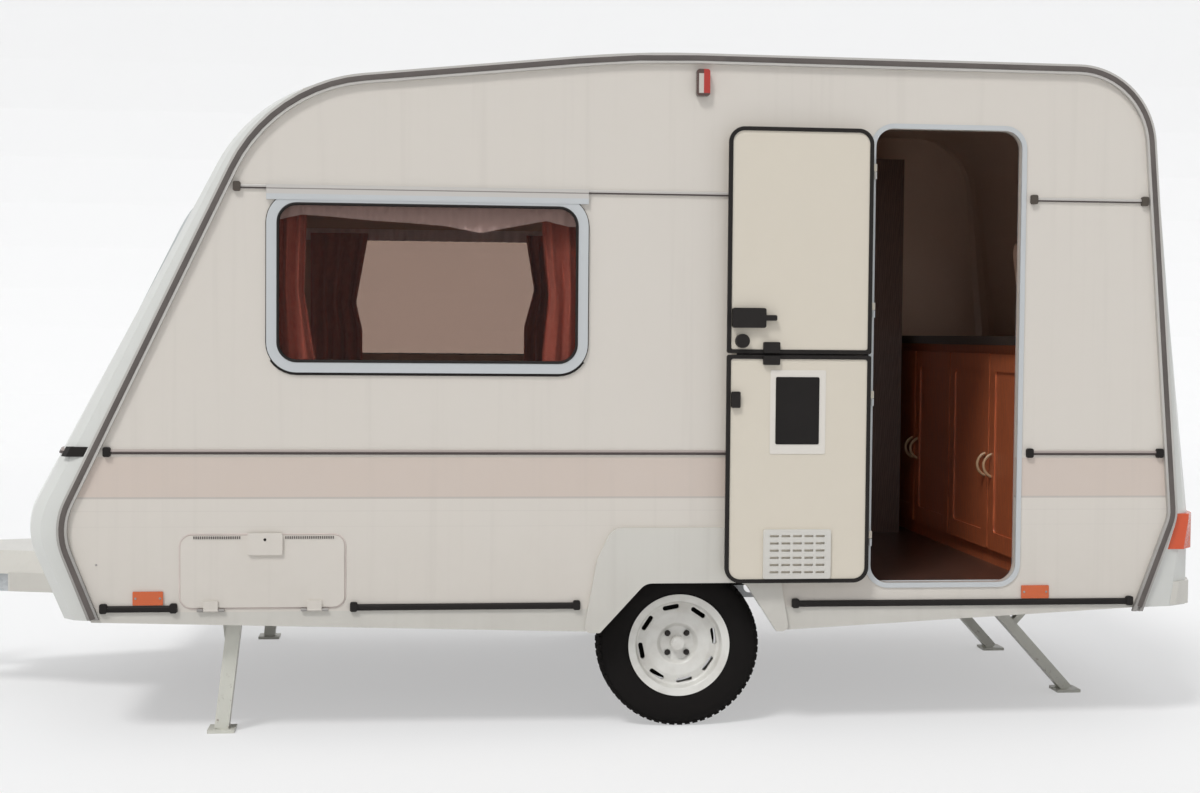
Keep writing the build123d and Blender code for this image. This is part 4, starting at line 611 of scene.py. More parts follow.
# %% One finish for each node
FINISH_OF = {
    body_sheet: ("side_wall_nearside", "side_wall_offside", "locker_door"),
    end_moulding: ("front_panel", "rear_panel"),
    roof_sheet: ("roof_panel",),
    skirt_moulding: ("skirts", "rear_bumper", "drawbar_fairing"),
    small_moulding: ("fridge_vents", "door_vent", "roof_light_kerb"),
    door_lining: ("door_leaf_upper", "door_leaf_lower"),
    rail_alloy: ("awning_rails", "locker_hinges"),
    strip_alloy: ("trim_strips",),
    window_alloy: ("window_frames", "door_frame"),
    painted_steel: tuple(name for name in nodes if name.startswith(("steady_leg", "steady_strut"))),
    galvanised: ("chassis_frame", "drawbar", "axle", "steady_bases", "coupling_head", "jockey_tube",
                 "jockey_stem", "jockey_fork"),
    black_plastic: ("wheel_boxes", "door_lock", "door_latch"),
    strip_plastic: ("rub_strips",),
    seal_rubber: ("door_seal_upper", "door_seal_lower", "coupling_tube"),
    black_steel: ("handbrake_lever",),
    tinted_pane: ("window_panes",),
    opal_lid: ("roof_light_lid",),
    lamp_lens: ("lamps",),
    furniture_wood: ("kitchen_unit", "lounge_bench"),
    # the wardrobe gets the darkened veneer, painted shade
    cupboard_wood: ("wardrobe",),
    worktop_laminate: ("kitchen_worktop",),
    floor_board: ("floor_panel",),
    wheel_paint: ("rim_nearside", "rim_offside"),
    tyre_rubber: ("tyre_nearside", "tyre_offside"),
    jockey_rubber: ("jockey_wheel",),
    seat_cloth: ("lounge_cushions",),
    curtain_cloth: ("curtains",),
}
for material, names in FINISH_OF.items():
    for name in names:
        for slot in nodes[name].material_slots:
            slot.material = material
dressed = {name for names in FINISH_OF.values() for name in names}
print("without a finish:", sorted(set(nodes) - dressed))

# %% [markdown]
# ## Tools for new pieces
# A Geometry Nodes tree is written once in code and then run with different inputs. Its result is
# turned into a plain mesh, so that nothing live is left on the piece.


# %% Placing pieces and running a tree
def place_piece(name, mesh, material, body, crease=38):
    """New object of a mesh, with its finish, riding on a body; edges past the crease angle stay sharp"""
    if material.name not in [m.name for m in mesh.materials if m]:
        mesh.materials.clear()
        mesh.materials.append(material)
    mesh.polygons.foreach_set("use_smooth", [True] * len(mesh.polygons))
    mesh.set_sharp_from_angle(angle=math.radians(crease))
    piece = new_object(name, mesh)
    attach(piece, body)
    print(name, len(mesh.vertices), "vertices on", body)
    return piece


def geometry_tree(name, inputs):
    """Geometry Nodes tree with a geometry in and out, its own inputs, and a material"""
    shape, look = ("Geometry", "NodeSocketGeometry"), ("Material", "NodeSocketMaterial")
    return node_group("GeometryNodeTree", name, [(*shape, None), *inputs, (*look, None)], [shape])


def end_tree(t, made, given, result):
    """The end of every tree: real geometry, with its material"""
    real = t.add("GeometryNodeRealizeInstances", {"Geometry": made}).outputs[0]
    shown = t.add("GeometryNodeSetMaterial", {"Geometry": real, "Material": given["Material"]})
    t.link(shown.outputs[0], result["Geometry"])
    return t.tree


def evaluated_mesh(piece):
    """Plain mesh of an object with its modifiers run"""
    return bpy.data.meshes.new_from_object(piece.evaluated_get(bpy.context.evaluated_depsgraph_get()))


def run_tree(group, mesh, **values):
    """Mesh that the tree makes of an input mesh; values are named after its inputs"""
    carrier = new_object("carrier", mesh)
    modifier = carrier.modifiers.new("tree", "NODES")
    modifier.node_group = group
    for item in group.interface.items_tree:
        if item.in_out == "INPUT" and item.name.lower() in values:
            modifier[item.identifier] = values[item.name.lower()]
    carrier.update_tag()
    made = evaluated_mesh(carrier)
    bpy.data.objects.remove(carrier)
    return made


def line_mesh(loops, closed=True):
    """Mesh of edges along one or more lists of points"""
    verts, edges = [], []
    for points in loops:
        first = len(verts)
        verts += [tuple(p) for p in points]
        edges += [(first + i, first + i + 1) for i in range(len(points) - 1)]
        if closed:
            edges.append((len(verts) - 1, first))
    return plain_mesh("line", verts, edges)


# %% [markdown]
# ### A section along a path
# Rubber seals are a round section pushed along a line, and the insert of the awning rail is a flat
# one. Mesh to Curve and Curve to Mesh do exactly that, and follow every bend.

# %% The bead tree: a round section
t, given, result = geometry_tree("bead_along_path", [("Radius", FLOAT, 0.004), ("Sides", INTEGER, 8)])
curve = t.add("GeometryNodeMeshToCurve", {"Mesh": given["Geometry"]}).outputs[0]
section = t.add("GeometryNodeCurvePrimitiveCircle", {"Resolution": given["Sides"], "Radius": given["Radius"]})
swept = t.add("GeometryNodeCurveToMesh", {"Curve": curve, "Profile Curve": section.outputs[0],
                                          "Fill Caps": True})
bead_tree = end_tree(t, swept.outputs[0], given, result)


def bead(name, loops, material, body, radius, sides=8, closed=True):
    """Round section of one radius along loops of points"""
    made = run_tree(bead_tree, line_mesh(loops, closed), radius=radius, sides=sides, material=material)
    return place_piece(name, made, material, body)


# %% Rounded outlines, worked out as a draughtsman would
SIDE_OUTLINE = (
    (1.288, 0.420, 0.0), (1.416, 0.746, 0.240), (0.672, 2.301, 0.580), (-0.620, 2.434, 4.000),
    (-2.513, 2.427, 0.295), (-2.646, 0.775, 0.150), (-2.522, 0.437, 0.0),
)
HALF_WIDTH = 1.050


def rounded(corners, steps=10, closed=True):
    """Points round a polygon whose corners are (u, v, radius)"""
    points = []
    count = len(corners)
    for i, (u, v, radius) in enumerate(corners):
        here = Vector((u, v))
        if radius <= 0 or (not closed and i in (0, count - 1)):
            points.append(here)
            continue
        a = (Vector(corners[i - 1][:2]) - here).normalized()
        b = (Vector(corners[(i + 1) % count][:2]) - here).normalized()
        half = a.angle(b) / 2
        centre = here + (a + b).normalized() * (radius / math.sin(half))
        start, end = here + a * radius / math.tan(half), here + b * radius / math.tan(half)
        s, e = start - centre, end - centre
        sweep = s.angle_signed(e)
        parts = max(2, int(abs(sweep) / (math.pi / 2) * steps))
        for k in range(parts + 1):
            turned = s.copy()
            turned.rotate(Matrix.Rotation(-sweep * k / parts, 2))
            points.append(centre + turned)
    return points


def moved_in(corners, amount):
    """Corners of an open outline, moved inwards"""
    made = []
    count = len(corners)
    for i, (u, v, radius) in enumerate(corners):
        before = Vector(corners[i - 1][:2]) if i else None
        after = Vector(corners[i + 1][:2]) if i < count - 1 else None
        here = Vector((u, v))
        a = (here - before).normalized() if before is not None else (after - here).normalized()
        b = (after - here).normalized() if after is not None else a
        na, nb = Vector((-a.y, a.x)), Vector((-b.y, b.x))
        bisector = (na + nb).normalized()
        made.append((*(here + bisector * amount / max(bisector.dot(na), 0.2)), max(radius - amount, 0)))
    return made


def box_corners(u0, u1, v0, v1, radius):
    return [(u0, v0, radius), (u1, v0, radius), (u1, v1, radius), (u0, v1, radius)]


# %% The ribbon tree: a flat strip with rounded edges, its broad side towards +Y
t, given, result = geometry_tree("ribbon_along_path", [("Width", FLOAT, 0.019), ("Thickness", FLOAT, 0.003)])
curve = t.add("GeometryNodeMeshToCurve", {"Mesh": given["Geometry"]}).outputs[0]
upright = t.add("GeometryNodeSetCurveNormal", {"Curve": curve, "Normal": (0, 1, 0)}, mode="FREE").outputs[0]
section = t.add("GeometryNodeCurvePrimitiveQuadrilateral",
                {"Width": given["Thickness"], "Height": given["Width"]})
softened = t.add("GeometryNodeFilletCurve", {"Curve": section.outputs[0], "Count": 2, "Limit Radius": True,
                                             "Radius": t.times(given["Thickness"], 0.4)}, mode="POLY")
swept = t.add("GeometryNodeCurveToMesh", {"Curve": upright, "Profile Curve": softened.outputs[0],
                                          "Fill Caps": True})
ribbon_tree = end_tree(t, swept.outputs[0], given, result)

# %% Rail insert: the dark vinyl strip pressed over the rail's groove
INSERT_IN, INSERT_WIDE, INSERT_THICK = 0.0115, 0.0190, 0.0036
RAIL_OVER, RAIL_FOOT = 0.0160, 0.427


def beside_edge(amount, y):
    """Line along both sides' outlines, moved inwards by an amount"""
    line = rounded(moved_in(SIDE_OUTLINE, amount), 16, closed=False)
    line[0] = Vector((line[0].x, RAIL_FOOT))
    return [[(p.x, side * y, p.y) for p in line] for side in (1, -1)]


insert_mesh = run_tree(ribbon_tree, line_mesh(beside_edge(INSERT_IN, HALF_WIDTH + RAIL_OVER), closed=False),
                       width=INSERT_WIDE, thickness=INSERT_THICK, material=rail_vinyl)
place_piece("rail_insert", insert_mesh, rail_vinyl, "caravan")

# %% Window seals: a soft rubber lip round every pane
WINDOW_X, WINDOW_Z, WINDOW_HALF_WIDE, WINDOW_HALF_HIGH, WINDOW_CORNER = 0.119, 1.607, 0.525, 0.275, 0.065
SIDE_WINDOW = box_corners(WINDOW_X - WINDOW_HALF_WIDE, WINDOW_X + WINDOW_HALF_WIDE,
                          WINDOW_Z - WINDOW_HALF_HIGH, WINDOW_Z + WINDOW_HALF_HIGH, WINDOW_CORNER)
# y, width, height, height of the middle above the ground
FRONT_WINDOWS = ((-0.585, 0.380, 0.52, 1.620), (0.0, 0.600, 0.52, 1.620), (0.585, 0.380, 0.52, 1.620))
REAR_WINDOWS = ((0.0, 1.150, 0.48, 1.640),)
# corner of the side outline, how far the moulding's middle stands out past it
END_CORNERS = ((1, 0.130), (2, 0.052), (4, -0.022), (5, -0.090))
FRONT_FOOT, FRONT_TOP, REAR_TOP, REAR_FOOT = (
    Vector((SIDE_OUTLINE[i][0] + out, SIDE_OUTLINE[i][1])) for i, out in END_CORNERS)
CORNER_DEPTH, FRONT_BOW, SEAL_LIFT = 0.130, 0.022, 0.0105


def on_both_walls(outline, lift, drop=0.0):
    """An outline on both side walls, a little off their faces"""
    return [[(p.x, side * (HALF_WIDTH + lift), p.y - drop) for p in outline] for side in (1, -1)]


def end_plane(low, high, z, y, outward):
    """Origin, across, up and outward directions of a plane on an end moulding"""
    along = (high - low).normalized()
    x = low.x + (high.x - low.x) * (z - low.y) / (high.y - low.y)
    half = HALF_WIDTH - CORNER_DEPTH
    origin = Vector((x + outward * FRONT_BOW * (1 - abs(y) / half), y, z))
    up_dir = Vector((along.x, 0, along.y))
    normal = Vector((up_dir.z, 0, -up_dir.x)) * outward
    across_dir = Vector((0, outward, 0))
    yaw = math.atan2(FRONT_BOW, half) * (0 if y == 0 else math.copysign(1, y))
    turn = Matrix.Rotation(yaw, 3, up_dir)
    return origin, turn @ across_dir, up_dir, turn @ normal


def on_end(plane, points, lift):
    origin, across_dir, up_dir, normal = plane
    return [origin + across_dir * p.x + up_dir * p.y + normal * lift for p in points]


seal_loops = on_both_walls(rounded(SIDE_WINDOW, 8), lift=SEAL_LIFT)
for windows, foot, top, outward in ((FRONT_WINDOWS, FRONT_FOOT, FRONT_TOP, 1),
                                    (REAR_WINDOWS, REAR_FOOT, REAR_TOP, -1)):
    for y, wide, high, middle in windows:
        outline = rounded(box_corners(-wide / 2, wide / 2, -high / 2, high / 2, WINDOW_CORNER), 8)
        seal_loops.append(on_end(end_plane(foot, top, middle, y, outward), outline, SEAL_LIFT))
bead("window_seals", seal_loops, seal_rubber, "caravan", radius=0.0055)

# %% Mastic round the frames: the thin dark line where frame and wall meet
FRAME_OVER = 0.0412
edge_loop = rounded([(u + math.copysign(FRAME_OVER, u - WINDOW_X),
                      v + math.copysign(FRAME_OVER, v - WINDOW_Z), r + FRAME_OVER)
                     for u, v, r in SIDE_WINDOW], 8)
bead("frame_mastic", on_both_walls(edge_loop, lift=0.001), strip_plastic, "caravan",
     radius=0.0030, sides=6)

# %% Painted shadow under the side frames: a thicker dark bead along each frame's lower edge and corners
low_points = [p for p in edge_loop if p.y < WINDOW_Z - WINDOW_HALF_HIGH + 0.020]
bead("frame_painted_shadow_bead", on_both_walls(low_points, lift=0.0015, drop=0.0020), seal_rubber, "caravan",
     radius=0.0066, closed=False)

# %% Locker seal: a pale rubber bead that fills the gap round the locker's door
LOCKER_REAR, LOCKER_FRONT, LOCKER_FOOT, LOCKER_TOP, LOCKER_CORNER = 0.405, 0.985, 0.458, 0.724, 0.045
HALF_GAP = 0.003
outline = rounded(box_corners(LOCKER_REAR + HALF_GAP, LOCKER_FRONT - HALF_GAP, LOCKER_FOOT + HALF_GAP,
                              LOCKER_TOP - HALF_GAP, LOCKER_CORNER - HALF_GAP), 8)
bead("locker_seal", on_both_walls(outline, lift=-0.0012)[:1], pale_rubber, "locker",
     radius=0.0042)

# %% [markdown]
# ### Bars in a row
# Two rows of short dark ribs grip the top of the locker's door. One tree sets a bar of a given size on
# every point of a mesh.

# %% The bar tree and the ribs
t, given, result = geometry_tree("bars_on_points", [("Size", VECTOR, (0.003, 0.003, 0.010))])
bar = t.add("GeometryNodeMeshCube", {"Size": given["Size"]}).outputs[0]
points = t.add("GeometryNodeMeshToPoints", {"Mesh": given["Geometry"]}).outputs[0]
placed = t.add("GeometryNodeInstanceOnPoints", {"Points": points, "Instance": bar})
bar_tree = end_tree(t, placed.outputs[0], given, result)

RIB_ROWS, RIB_PITCH, RIB_Z = ((0.775, 0.940), (0.450, 0.620)), 0.0075, 0.7105
LEAF_PROUD, RIB_PROUD = 0.006, 0.0006
rib_y, latch_face = HALF_WIDTH + LEAF_PROUD + RIB_PROUD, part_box("locker_door")[1].y
rib_spots = [(x, rib_y, RIB_Z) for a, b in RIB_ROWS for x in np.arange(a, b, RIB_PITCH)]
print("latch stands at", round(latch_face, 4), "over", len(rib_spots), "ribs")
rib_mesh = run_tree(bar_tree, plain_mesh("rib_points", rib_spots), size=(0.0040, 0.0030, 0.0095),
                    material=rail_vinyl)
place_piece("locker_ribs", rib_mesh, rail_vinyl, "locker")

# %% [markdown]
# ### Heads in rows
# Screws stand in rows and wheel bolts in a ring. The tree puts one low head on every point of a mesh
# and turns it along the direction stored with the point.

# %% The head tree
t, given, result = geometry_tree("heads_on_points", [("Radius", FLOAT, 0.004)])
facing = t.add("GeometryNodeInputNamedAttribute", {"Name": "facing"}, data_type="FLOAT_VECTOR").outputs[0]
turn = t.add("FunctionNodeAlignRotationToVector", {"Vector": facing}, axis="Z").outputs[0]
cone = t.add("GeometryNodeMeshCone", {"Vertices": 12, "Side Segments": 2, "Radius Bottom": given["Radius"],
                                      "Radius Top": t.times(given["Radius"], 0.62),
                                      "Depth": t.times(given["Radius"], 0.55)})
points = t.add("GeometryNodeMeshToPoints", {"Mesh": given["Geometry"]}).outputs[0]
placed = t.add("GeometryNodeInstanceOnPoints", {"Points": points, "Instance": cone.outputs[0],
                                                "Rotation": turn})
head_tree = end_tree(t, placed.outputs[0], given, result)


def heads(name, places, material, body, radius):
    """Screw heads at (point, side) places, side 1 facing the nearside and -1 the offside"""
    mesh = plain_mesh("points", [tuple(point) for point, _ in places])
    attribute = mesh.attributes.new("facing", "FLOAT_VECTOR", "POINT")
    attribute.data.foreach_set("vector", [c for _, side in places for c in (0.0, side, 0.0)])
    made = run_tree(head_tree, mesh, radius=radius, material=material)
    return place_piece(name, made, material, body)


# %% Screws of the reflectors, of the vents and of the front corner
REFLECTOR_SPOTS, REFLECTOR_REACH, REFLECTOR_Z, REFLECTOR_OUT = (1.091, -2.113), 0.042, 0.498, 0.007
VENT_ENDS, VENT_ROWS, VENT_OUT = (-2.492, -2.148), (0.770, 0.940, 1.150, 1.320), 0.012
CORNER_SCREW, KEYHOLE = (1.268, 0.616), (0.687, 0.704)
rows = [((x + reach, side * (HALF_WIDTH + REFLECTOR_OUT), REFLECTOR_Z), side)
        for side in (1, -1) for x in REFLECTOR_SPOTS for reach in (-REFLECTOR_REACH, REFLECTOR_REACH)]
rows += [((x, -(HALF_WIDTH + VENT_OUT), z), -1) for z in VENT_ROWS for x in VENT_ENDS]
rows.append(((CORNER_SCREW[0], HALF_WIDTH, CORNER_SCREW[1]), 1))
heads("frame_screws", rows, rail_alloy, "caravan", radius=0.0042)
heads("locker_keyhole", [((KEYHOLE[0], latch_face, KEYHOLE[1]), 1)], seal_rubber, "locker",
      radius=0.0052)

# %% [markdown]
# ## Tyres
# A tyre is a turned section with things that repeat round it. The carcass is one profile turned about
# the axle, with three rain grooves in its crown; the shoulder blocks and the slanted bars on the
# middle ribs are set round it by a tree, each block turned to its own place.

# %% The ring tree
t, given, result = geometry_tree(
    "blocks_round_axle",
    [("Count", INTEGER, 60), ("Radius", FLOAT, 0.29), ("Size", VECTOR, (0.02, 0.02, 0.008)),
     ("Centre", VECTOR, (0, 0, 0)), ("Phase", FLOAT, 0.0), ("Slant", FLOAT, 0.0)])
index = t.add("GeometryNodeInputIndex").outputs[0]
angle = t.math("DIVIDE", t.times(t.math("ADD", index, given["Phase"]), 2 * math.pi), given["Count"])
around = t.add("ShaderNodeCombineXYZ", {0: t.times(t.math("SINE", angle), given["Radius"]),
                                        2: t.times(t.math("COSINE", angle), given["Radius"])}).outputs[0]
position = t.vector_math("ADD", around, given["Centre"])[0]
dots = t.add("GeometryNodePoints", {"Count": given["Count"], "Position": position}).outputs[0]
cube = t.add("GeometryNodeMeshCube", {"Size": given["Size"]}).outputs[0]
turned = t.add("ShaderNodeCombineXYZ", {1: angle, 2: given["Slant"]}).outputs[0]
placed = t.add("GeometryNodeInstanceOnPoints", {"Points": dots, "Instance": cube, "Rotation": turned})
ring_tree = end_tree(t, placed.outputs[0], given, result)

# %% Carcass and tread
SIDES = ((1, "nearside"), (-1, "offside"))
AXLE_X, TYRE_RADIUS, TRACK_HALF = -0.800, 0.298, 0.900
# Half of the tyre's outline from a bead to the middle, as (radius, width from the middle)
HALF_CROWN = (
    (0.1655, 0.054), (0.170, 0.060), (0.186, 0.066), (0.200, 0.0745), (0.214, 0.0802), (0.232, 0.0822),
    (0.252, 0.0815), (0.268, 0.0775), (0.279, 0.0700), (0.2865, 0.0610), (0.2905, 0.0520),
    (0.2962, 0.0430), (0.2968, 0.0300), (0.2900, 0.0290), (0.2900, 0.0230), (0.2972, 0.0220),
    (0.2976, 0.0040), (0.2905, 0.0030),
)
CROWN = [(r, -y) for r, y in HALF_CROWN] + list(reversed(HALF_CROWN))


def finished_mesh(name, bm, turn_out=True):
    """Mesh of a bmesh; turn_out turns its faces outward first"""
    if turn_out:
        bmesh.ops.recalc_face_normals(bm, faces=bm.faces)
    mesh = bpy.data.meshes.new(name)
    bm.to_mesh(mesh)
    bm.free()
    return mesh


def turned_about_axle(profile, centre, steps):
    """Closed profile of (radius, y) turned about the wheel's axle"""
    verts, faces = [], []
    count = len(profile)
    for i in range(steps):
        a = 2 * math.pi * i / steps
        verts += [(centre[0] + r * math.sin(a), centre[1] + y, centre[2] + r * math.cos(a))
                  for r, y in profile]
        after = (i + 1) % steps
        for k in range(count):
            faces.append((i * count + k, i * count + (k + 1) % count, after * count + (k + 1) % count,
                          after * count + k))
    bm = bmesh.new()
    bm.from_mesh(plain_mesh("turned_raw", verts, faces=faces))
    return finished_mesh("turned", bm)


def joined(meshes):
    """One mesh of several"""
    bm = bmesh.new()
    for mesh in meshes:
        bm.from_mesh(mesh)
    return finished_mesh("joined", bm, turn_out=False)


BLOCKS = 64
# radius, distance from the middle, size of a block, phase, shift of the phase to either side, slant
TREAD_ROWS = ((0.2905, 0.0535, (0.0195, 0.020, 0.011), 0.0, 0.25, 0.12),
              (0.2958, 0.0130, (0.0200, 0.011, 0.004), 0.5, 0.0, 0.36))
empty = plain_mesh("empty", [])
for side, name in SIDES:
    centre = Vector((AXLE_X, side * TRACK_HALF, TYRE_RADIUS))
    parts = [turned_about_axle(CROWN, centre, 96)]
    for reach in (-1, 1):
        for radius, out, block, phase, shift, slant in TREAD_ROWS:
            parts.append(run_tree(ring_tree, empty, count=BLOCKS, radius=radius, size=block,
                                  centre=centre + Vector((0, reach * out, 0)), phase=phase + reach * shift,
                                  slant=-reach * slant, material=tyre_rubber))
    tyre = place_piece(f"treaded_tyre_{name}", joined(parts), tyre_rubber, f"wheel_{name}")
    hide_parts(f"tyre_{name}")

# %% Wheel bolts
BOLTS, BOLT_CIRCLE, BOLT_OUT = 4, 0.050, 0.0185
for side, name in SIDES:
    places = []
    for k in range(BOLTS):
        a = math.radians(45 + 360 / BOLTS * k)
        places.append(((AXLE_X + BOLT_CIRCLE * math.cos(a), side * (TRACK_HALF + BOLT_OUT),
                        TYRE_RADIUS + BOLT_CIRCLE * math.sin(a)), side))
    heads(f"wheel_bolts_{name}", places, black_steel, f"wheel_{name}", radius=0.0115)

# %% [markdown]
# ## Curtains and pelmets
# A curtain is flat cloth drawn into pleats, so its section is a wave whose length is the flat width.
# The outer edge stays behind the window's frame; the inner edge follows a short table of heights,
# because a drawn curtain never hangs quite plumb. A pelmet is a shorter strip with a lower edge that
# sags between its hooks.


# %% Gathered cloth
def between(table, key):
    """Value at a key of a table of (key, value) rows"""
    rows = sorted(table)
    return float(np.interp(key, [row[0] for row in rows], [row[1] for row in rows]))


def sheet_mesh(name, place, wide, high):
    """Grid of faces with points place(u, v), u along the rail, v upwards"""
    verts = [place(i / wide, j / high) for j in range(high + 1) for i in range(wide + 1)]
    row = wide + 1
    faces = [(j * row + i, j * row + i + 1, (j + 1) * row + i + 1, (j + 1) * row + i)
             for j in range(high) for i in range(wide)]
    return plain_mesh(name, verts, faces=faces)


def hang(name, mesh, material):
    """Cloth sheet on the windows, riding on the caravan and shaded smooth"""
    sheet = place_piece(name, mesh, material, "caravan", crease=100)
    return sheet


CURTAIN_Y, CURTAIN_LOW, CURTAIN_TOP, CURTAIN_DEEP = 0.982, 1.300, 1.900, 0.014
PELMET_Y, PELMET_TOP, PELMET_DEEP, PELMET_PLEATS, PELMET_X = 1.0165, 1.922, 0.0045, 24, (-0.460, 0.698)


def curtain(name, side, outer, inner_edge, pleats):
    def place(u, v):
        z = CURTAIN_LOW + (CURTAIN_TOP - CURTAIN_LOW) * v
        x = outer + (between(inner_edge, z) - outer) * u
        wave = math.sin(2 * math.pi * pleats * u + 0.9 * math.sin(4.3 * u + 1.7 * v + outer))
        second = 0.25 * math.sin(2 * math.pi * pleats * 1.6 * u + 2.4 * v)
        return x, side * (CURTAIN_Y + CURTAIN_DEEP * (0.75 + 0.35 * (1 - v)) * (wave + second)), z

    return hang(name, sheet_mesh(name, place, pleats * 18, 36), curtain_cloth)


def pelmet(name, side, lower_edge):
    def place(u, v):
        x = PELMET_X[0] + (PELMET_X[1] - PELMET_X[0]) * u
        low = between(lower_edge, x)
        wave = math.sin(2 * math.pi * PELMET_PLEATS * u + 1.3 * math.sin(9.0 * u)) * (1.15 - 0.5 * v)
        return x, side * (PELMET_Y + PELMET_DEEP * wave), low + (PELMET_TOP - low) * v

    return hang(name, sheet_mesh(name, place, PELMET_PLEATS * 14, 10), pelmet_cloth)


CURTAINS = (
    # name, side, outer edge x, rows of (height, inner edge x), pleats
    ("front_nearside", 1, 0.668,
     ((1.900, 0.545), (1.786, 0.551), (1.582, 0.559), (1.352, 0.524), (1.300, 0.519)), 3),
    ("rear_nearside", 1, -0.440, ((1.900, -0.283), (1.789, -0.287), (1.574, -0.311), (1.358, -0.290)), 3),
    ("front_offside", -1, 0.668, ((1.900, 0.402), (1.869, 0.403), (1.574, 0.455), (1.445, 0.425)), 5),
    ("rear_offside", -1, -0.450, ((1.900, -0.344), (1.868, -0.346), (1.643, -0.383), (1.464, -0.336)), 3),
)
PELMET_LOW = (
    # x, height of the lower edge
    (0.700, 1.828), (0.636, 1.830), (0.566, 1.847), (0.460, 1.841), (0.328, 1.830), (0.195, 1.823),
    (0.062, 1.814), (-0.063, 1.791), (-0.162, 1.811), (-0.297, 1.837), (-0.378, 1.818), (-0.460, 1.815),
)
hung = [curtain(f"curtain_{name}", *rest) for name, *rest in CURTAINS]
for name, side, lower_edge in (("nearside", 1, PELMET_LOW), ("offside", -1, ((-0.46, 1.868), (0.70, 1.868)))):
    hung.append(pelmet(f"pelmet_{name}", side, lower_edge))
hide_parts("curtains")

# %% [markdown]
# ## Cushions
# The bench cushions are foam blocks in a sewn cover: crowned on top, tight at the piped edges. Cloth
# under a little inner pressure gives that crown. They are only seen through the glass and the
# doorway, so a coarse cloth is enough.

# %% Cushion blocks blown up by cloth
# name, x, y and z ranges
CUSHIONS = (
    ("seat_nearside", (-0.427, 0.857), (0.483, 1.015), (0.7950, 0.9100)),
    ("seat_offside", (-0.427, 0.857), (-1.015, -0.483), (0.7950, 0.9100)),
    ("seat_front", (0.863, 1.270), (-0.480, 0.480), (0.7950, 0.9100)),
    ("back_nearside", (-0.427, 1.000), (0.898, 1.015), (0.9130, 1.2900)),
    ("back_offside", (-0.427, 1.000), (-1.015, -0.898), (0.9130, 1.2900)),
)
CUSHION_ROOM, CUSHION_EDGE, CUSHION_VOXEL = 0.006, 0.022, 0.014
CLOTH_STEPS, PRESSURE, SWELL_CAP = 14, 4.0, 0.012


def block_mesh(name, *ranges):
    """Closed box over three ranges, with rounded edges"""
    bm = bmesh.new()
    bmesh.ops.create_cube(bm, size=1)
    for v in bm.verts:
        v.co = Vector([sum(ends) / 2 + c * (ends[1] - ends[0]) for c, ends in zip(v.co, ranges)])
    bmesh.ops.bevel(bm, geom=bm.edges[:], offset=CUSHION_EDGE, segments=3, profile=0.5, affect="EDGES")
    return finished_mesh(name, bm, turn_out=False)


def blown(mesh):
    """Mesh remeshed, then swollen as cloth by inner pressure without gravity, each point's move capped"""
    piece = new_object("blown", mesh)
    remesh = piece.modifiers.new("remesh", "REMESH")
    remesh.mode, remesh.voxel_size = "VOXEL", CUSHION_VOXEL
    plain = evaluated_mesh(piece)
    piece.modifiers.clear()
    piece.data = plain
    start = np.empty(len(plain.vertices) * 3, np.float32)
    plain.vertices.foreach_get("co", start)
    swell = piece.modifiers.new("cloth", "CLOTH")
    swell.settings.use_pressure = True
    swell.settings.uniform_pressure_force = PRESSURE
    swell.settings.effector_weights.gravity = 0.0
    swell.settings.quality = 3
    for step in range(1, CLOTH_STEPS + 1):
        bpy.context.scene.frame_set(step)
    made = evaluated_mesh(piece)
    bpy.data.objects.remove(piece)
    bpy.context.scene.frame_set(1)
    end = np.empty_like(start)
    made.vertices.foreach_get("co", end)
    move = (end - start).reshape(-1, 3)
    far = np.linalg.norm(move, axis=1, keepdims=True)
    move *= np.minimum(1, SWELL_CAP / np.maximum(far, 1e-9))
    made.vertices.foreach_set("co", (start.reshape(-1, 3) + move).ravel())
    return made


for name, *ranges in CUSHIONS:
    mesh = block_mesh(name, *((low + CUSHION_ROOM, high - CUSHION_ROOM) for low, high in ranges))
    mesh = blown(mesh)
    place_piece(f"cushion_{name}", mesh, seat_cloth, "caravan", crease=180)
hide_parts("lounge_cushions")

# %% Piping round the seats' upper and lower edges, and round the backs' two faces
PIPING_IN, PIPING_CORNER = 0.012, 0.02
piping = []
for name, xs, ys, zs in CUSHIONS:
    xs, ys, zs = ((low + PIPING_IN, high - PIPING_IN) for low, high in (xs, ys, zs))
    if name.startswith("seat"):
        outline = rounded(box_corners(*xs, *ys, PIPING_CORNER), 4)
        piping += [[(p.x, p.y, z) for p in outline] for z in zs]
    else:
        outline = rounded(box_corners(*xs, *zs, PIPING_CORNER), 4)
        piping += [[(p.x, y, p.y) for p in outline] for y in ys]
bead("cushion_piping", piping, piping_cloth, "caravan", radius=0.0045, sides=6)

# %% [markdown]
# ## Plates and small fittings
# A black plate with a pale edge sits on the lower door leaf and stays bare. A ribbed strip protects
# the sill, and dished shields close the wheels from behind.


# %% Rounded plates on the lower leaf of the door
DOOR_FACE_Y, PLATE_THICK, PLATE_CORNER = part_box("door_vent")[0].y, 0.0022, 0.006


def door_plate(name, corners, lift, material):
    """Rounded plate over (x0, x1, z0, z1) with a small bevel, lifted off the leaf"""
    outline = rounded(box_corners(*corners, PLATE_CORNER), 3)
    bm = bmesh.new()
    low, high = ([bm.verts.new((p.x, DOOR_FACE_Y + lift + out, p.y)) for p in outline]
                 for out in (0.0, PLATE_THICK))
    bm.faces.new(low[::-1])
    top = bm.faces.new(high)
    for i in range(len(outline)):
        after = (i + 1) % len(outline)
        bm.faces.new((low[i], low[after], high[after], high[i]))
    bmesh.ops.recalc_face_normals(bm, faces=bm.faces)
    bmesh.ops.bevel(bm, geom=top.edges[:], offset=PLATE_THICK * 0.35, segments=2, affect="EDGES")
    place_piece(name, finished_mesh("plate", bm, turn_out=False), material, "door_lower")


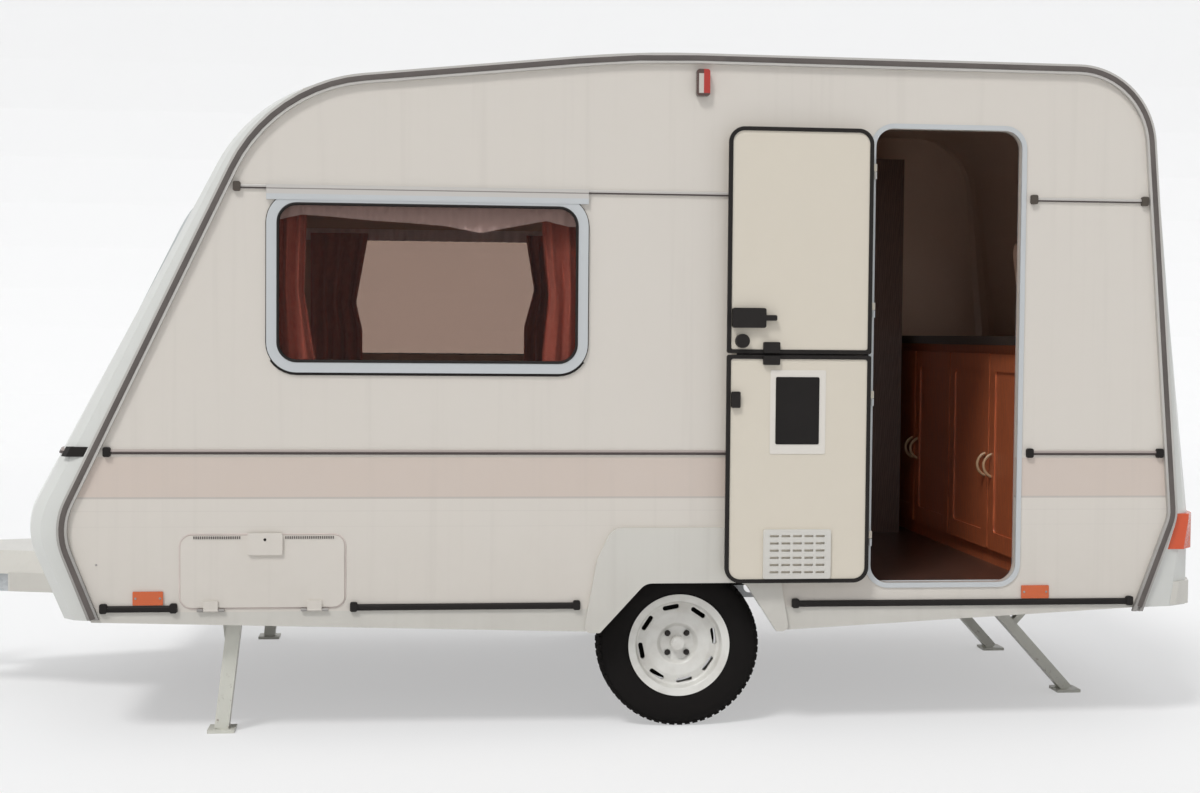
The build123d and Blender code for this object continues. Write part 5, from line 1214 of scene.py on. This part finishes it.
blank_black = black("blank_black_plate", 0.010, 0.25, 0.30, 900.0, 0.0002)
door_plate("door_plate_edge", (-1.303, -1.100, 1.010, 1.312), 0.0, pale_moulding)
door_plate("door_plate_face", (-1.279, -1.120, 1.045, 1.287), PLATE_THICK, blank_black)

# %% Meeting strip: black rubber between the two leaves, carried by the lower one
STRIP_SHORT, STRIP_BACK, STRIP_FREE = 0.032, 0.004, 0.0003
upper_low, lower_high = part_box("door_seal_upper")[0].z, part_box("door_seal_lower")[1].z
leaf_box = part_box("door_leaf_lower")
gap = upper_low - lower_high
strip_line = [[(x, leaf_box[1].y - STRIP_BACK, (upper_low + lower_high) / 2)
               for x in (leaf_box[0].x + STRIP_SHORT, leaf_box[1].x - STRIP_SHORT)]]
bead("door_meeting_strip", strip_line, seal_rubber, "door_lower",
     radius=gap / 2 - STRIP_FREE, closed=False)
print("gap between the leaves", round(gap, 4))

# %% Sill of the doorway: a ribbed alloy strip, one wave repeated across its width
SILL_X, SILL_Y, SILL_Z = (-2.020, -1.510), (0.985, 1.020), 0.530
SILL_RIBS, SILL_RIB_HIGH, SILL_BASE, SILL_FOOT = 9, 0.0035, 0.0005, 0.0002


def sill_place(u, v):
    return (SILL_X[0] + (SILL_X[1] - SILL_X[0]) * v, SILL_Y[0] + (SILL_Y[1] - SILL_Y[0]) * u,
            SILL_Z + SILL_BASE + SILL_RIB_HIGH * abs(math.sin(math.pi * SILL_RIBS * u)))


bm = bmesh.new()
bm.from_mesh(sheet_mesh("ribbed_sheet", sill_place, SILL_RIBS * 6, 1))
skirt = bmesh.ops.extrude_edge_only(bm, edges=[e for e in bm.edges if e.is_boundary])["geom"]
for v in skirt:
    if isinstance(v, bmesh.types.BMVert):
        v.co.z = SILL_Z + SILL_FOOT
bmesh.ops.holes_fill(bm, edges=[e for e in bm.edges if e.is_boundary], sides=0)
place_piece("door_sill_strip", finished_mesh("door_sill_strip", bm), window_alloy, "caravan")

# %% Brake shields: dark dished plates behind the wheels' slots, as (radius, distance from the middle)
SHIELD = ((0.026, 0.8380), (0.060, 0.8400), (0.120, 0.8400), (0.150, 0.8360), (0.152, 0.8340),
          (0.150, 0.8325), (0.120, 0.8370), (0.060, 0.8370), (0.026, 0.8350))
for side, name in SIDES:
    profile = [(radius, side * y) for radius, y in SHIELD]
    shield = turned_about_axle(profile, (AXLE_X, 0, TYRE_RADIUS), 48)
    place_piece(f"brake_shield_{name}", shield, black_steel, "caravan")
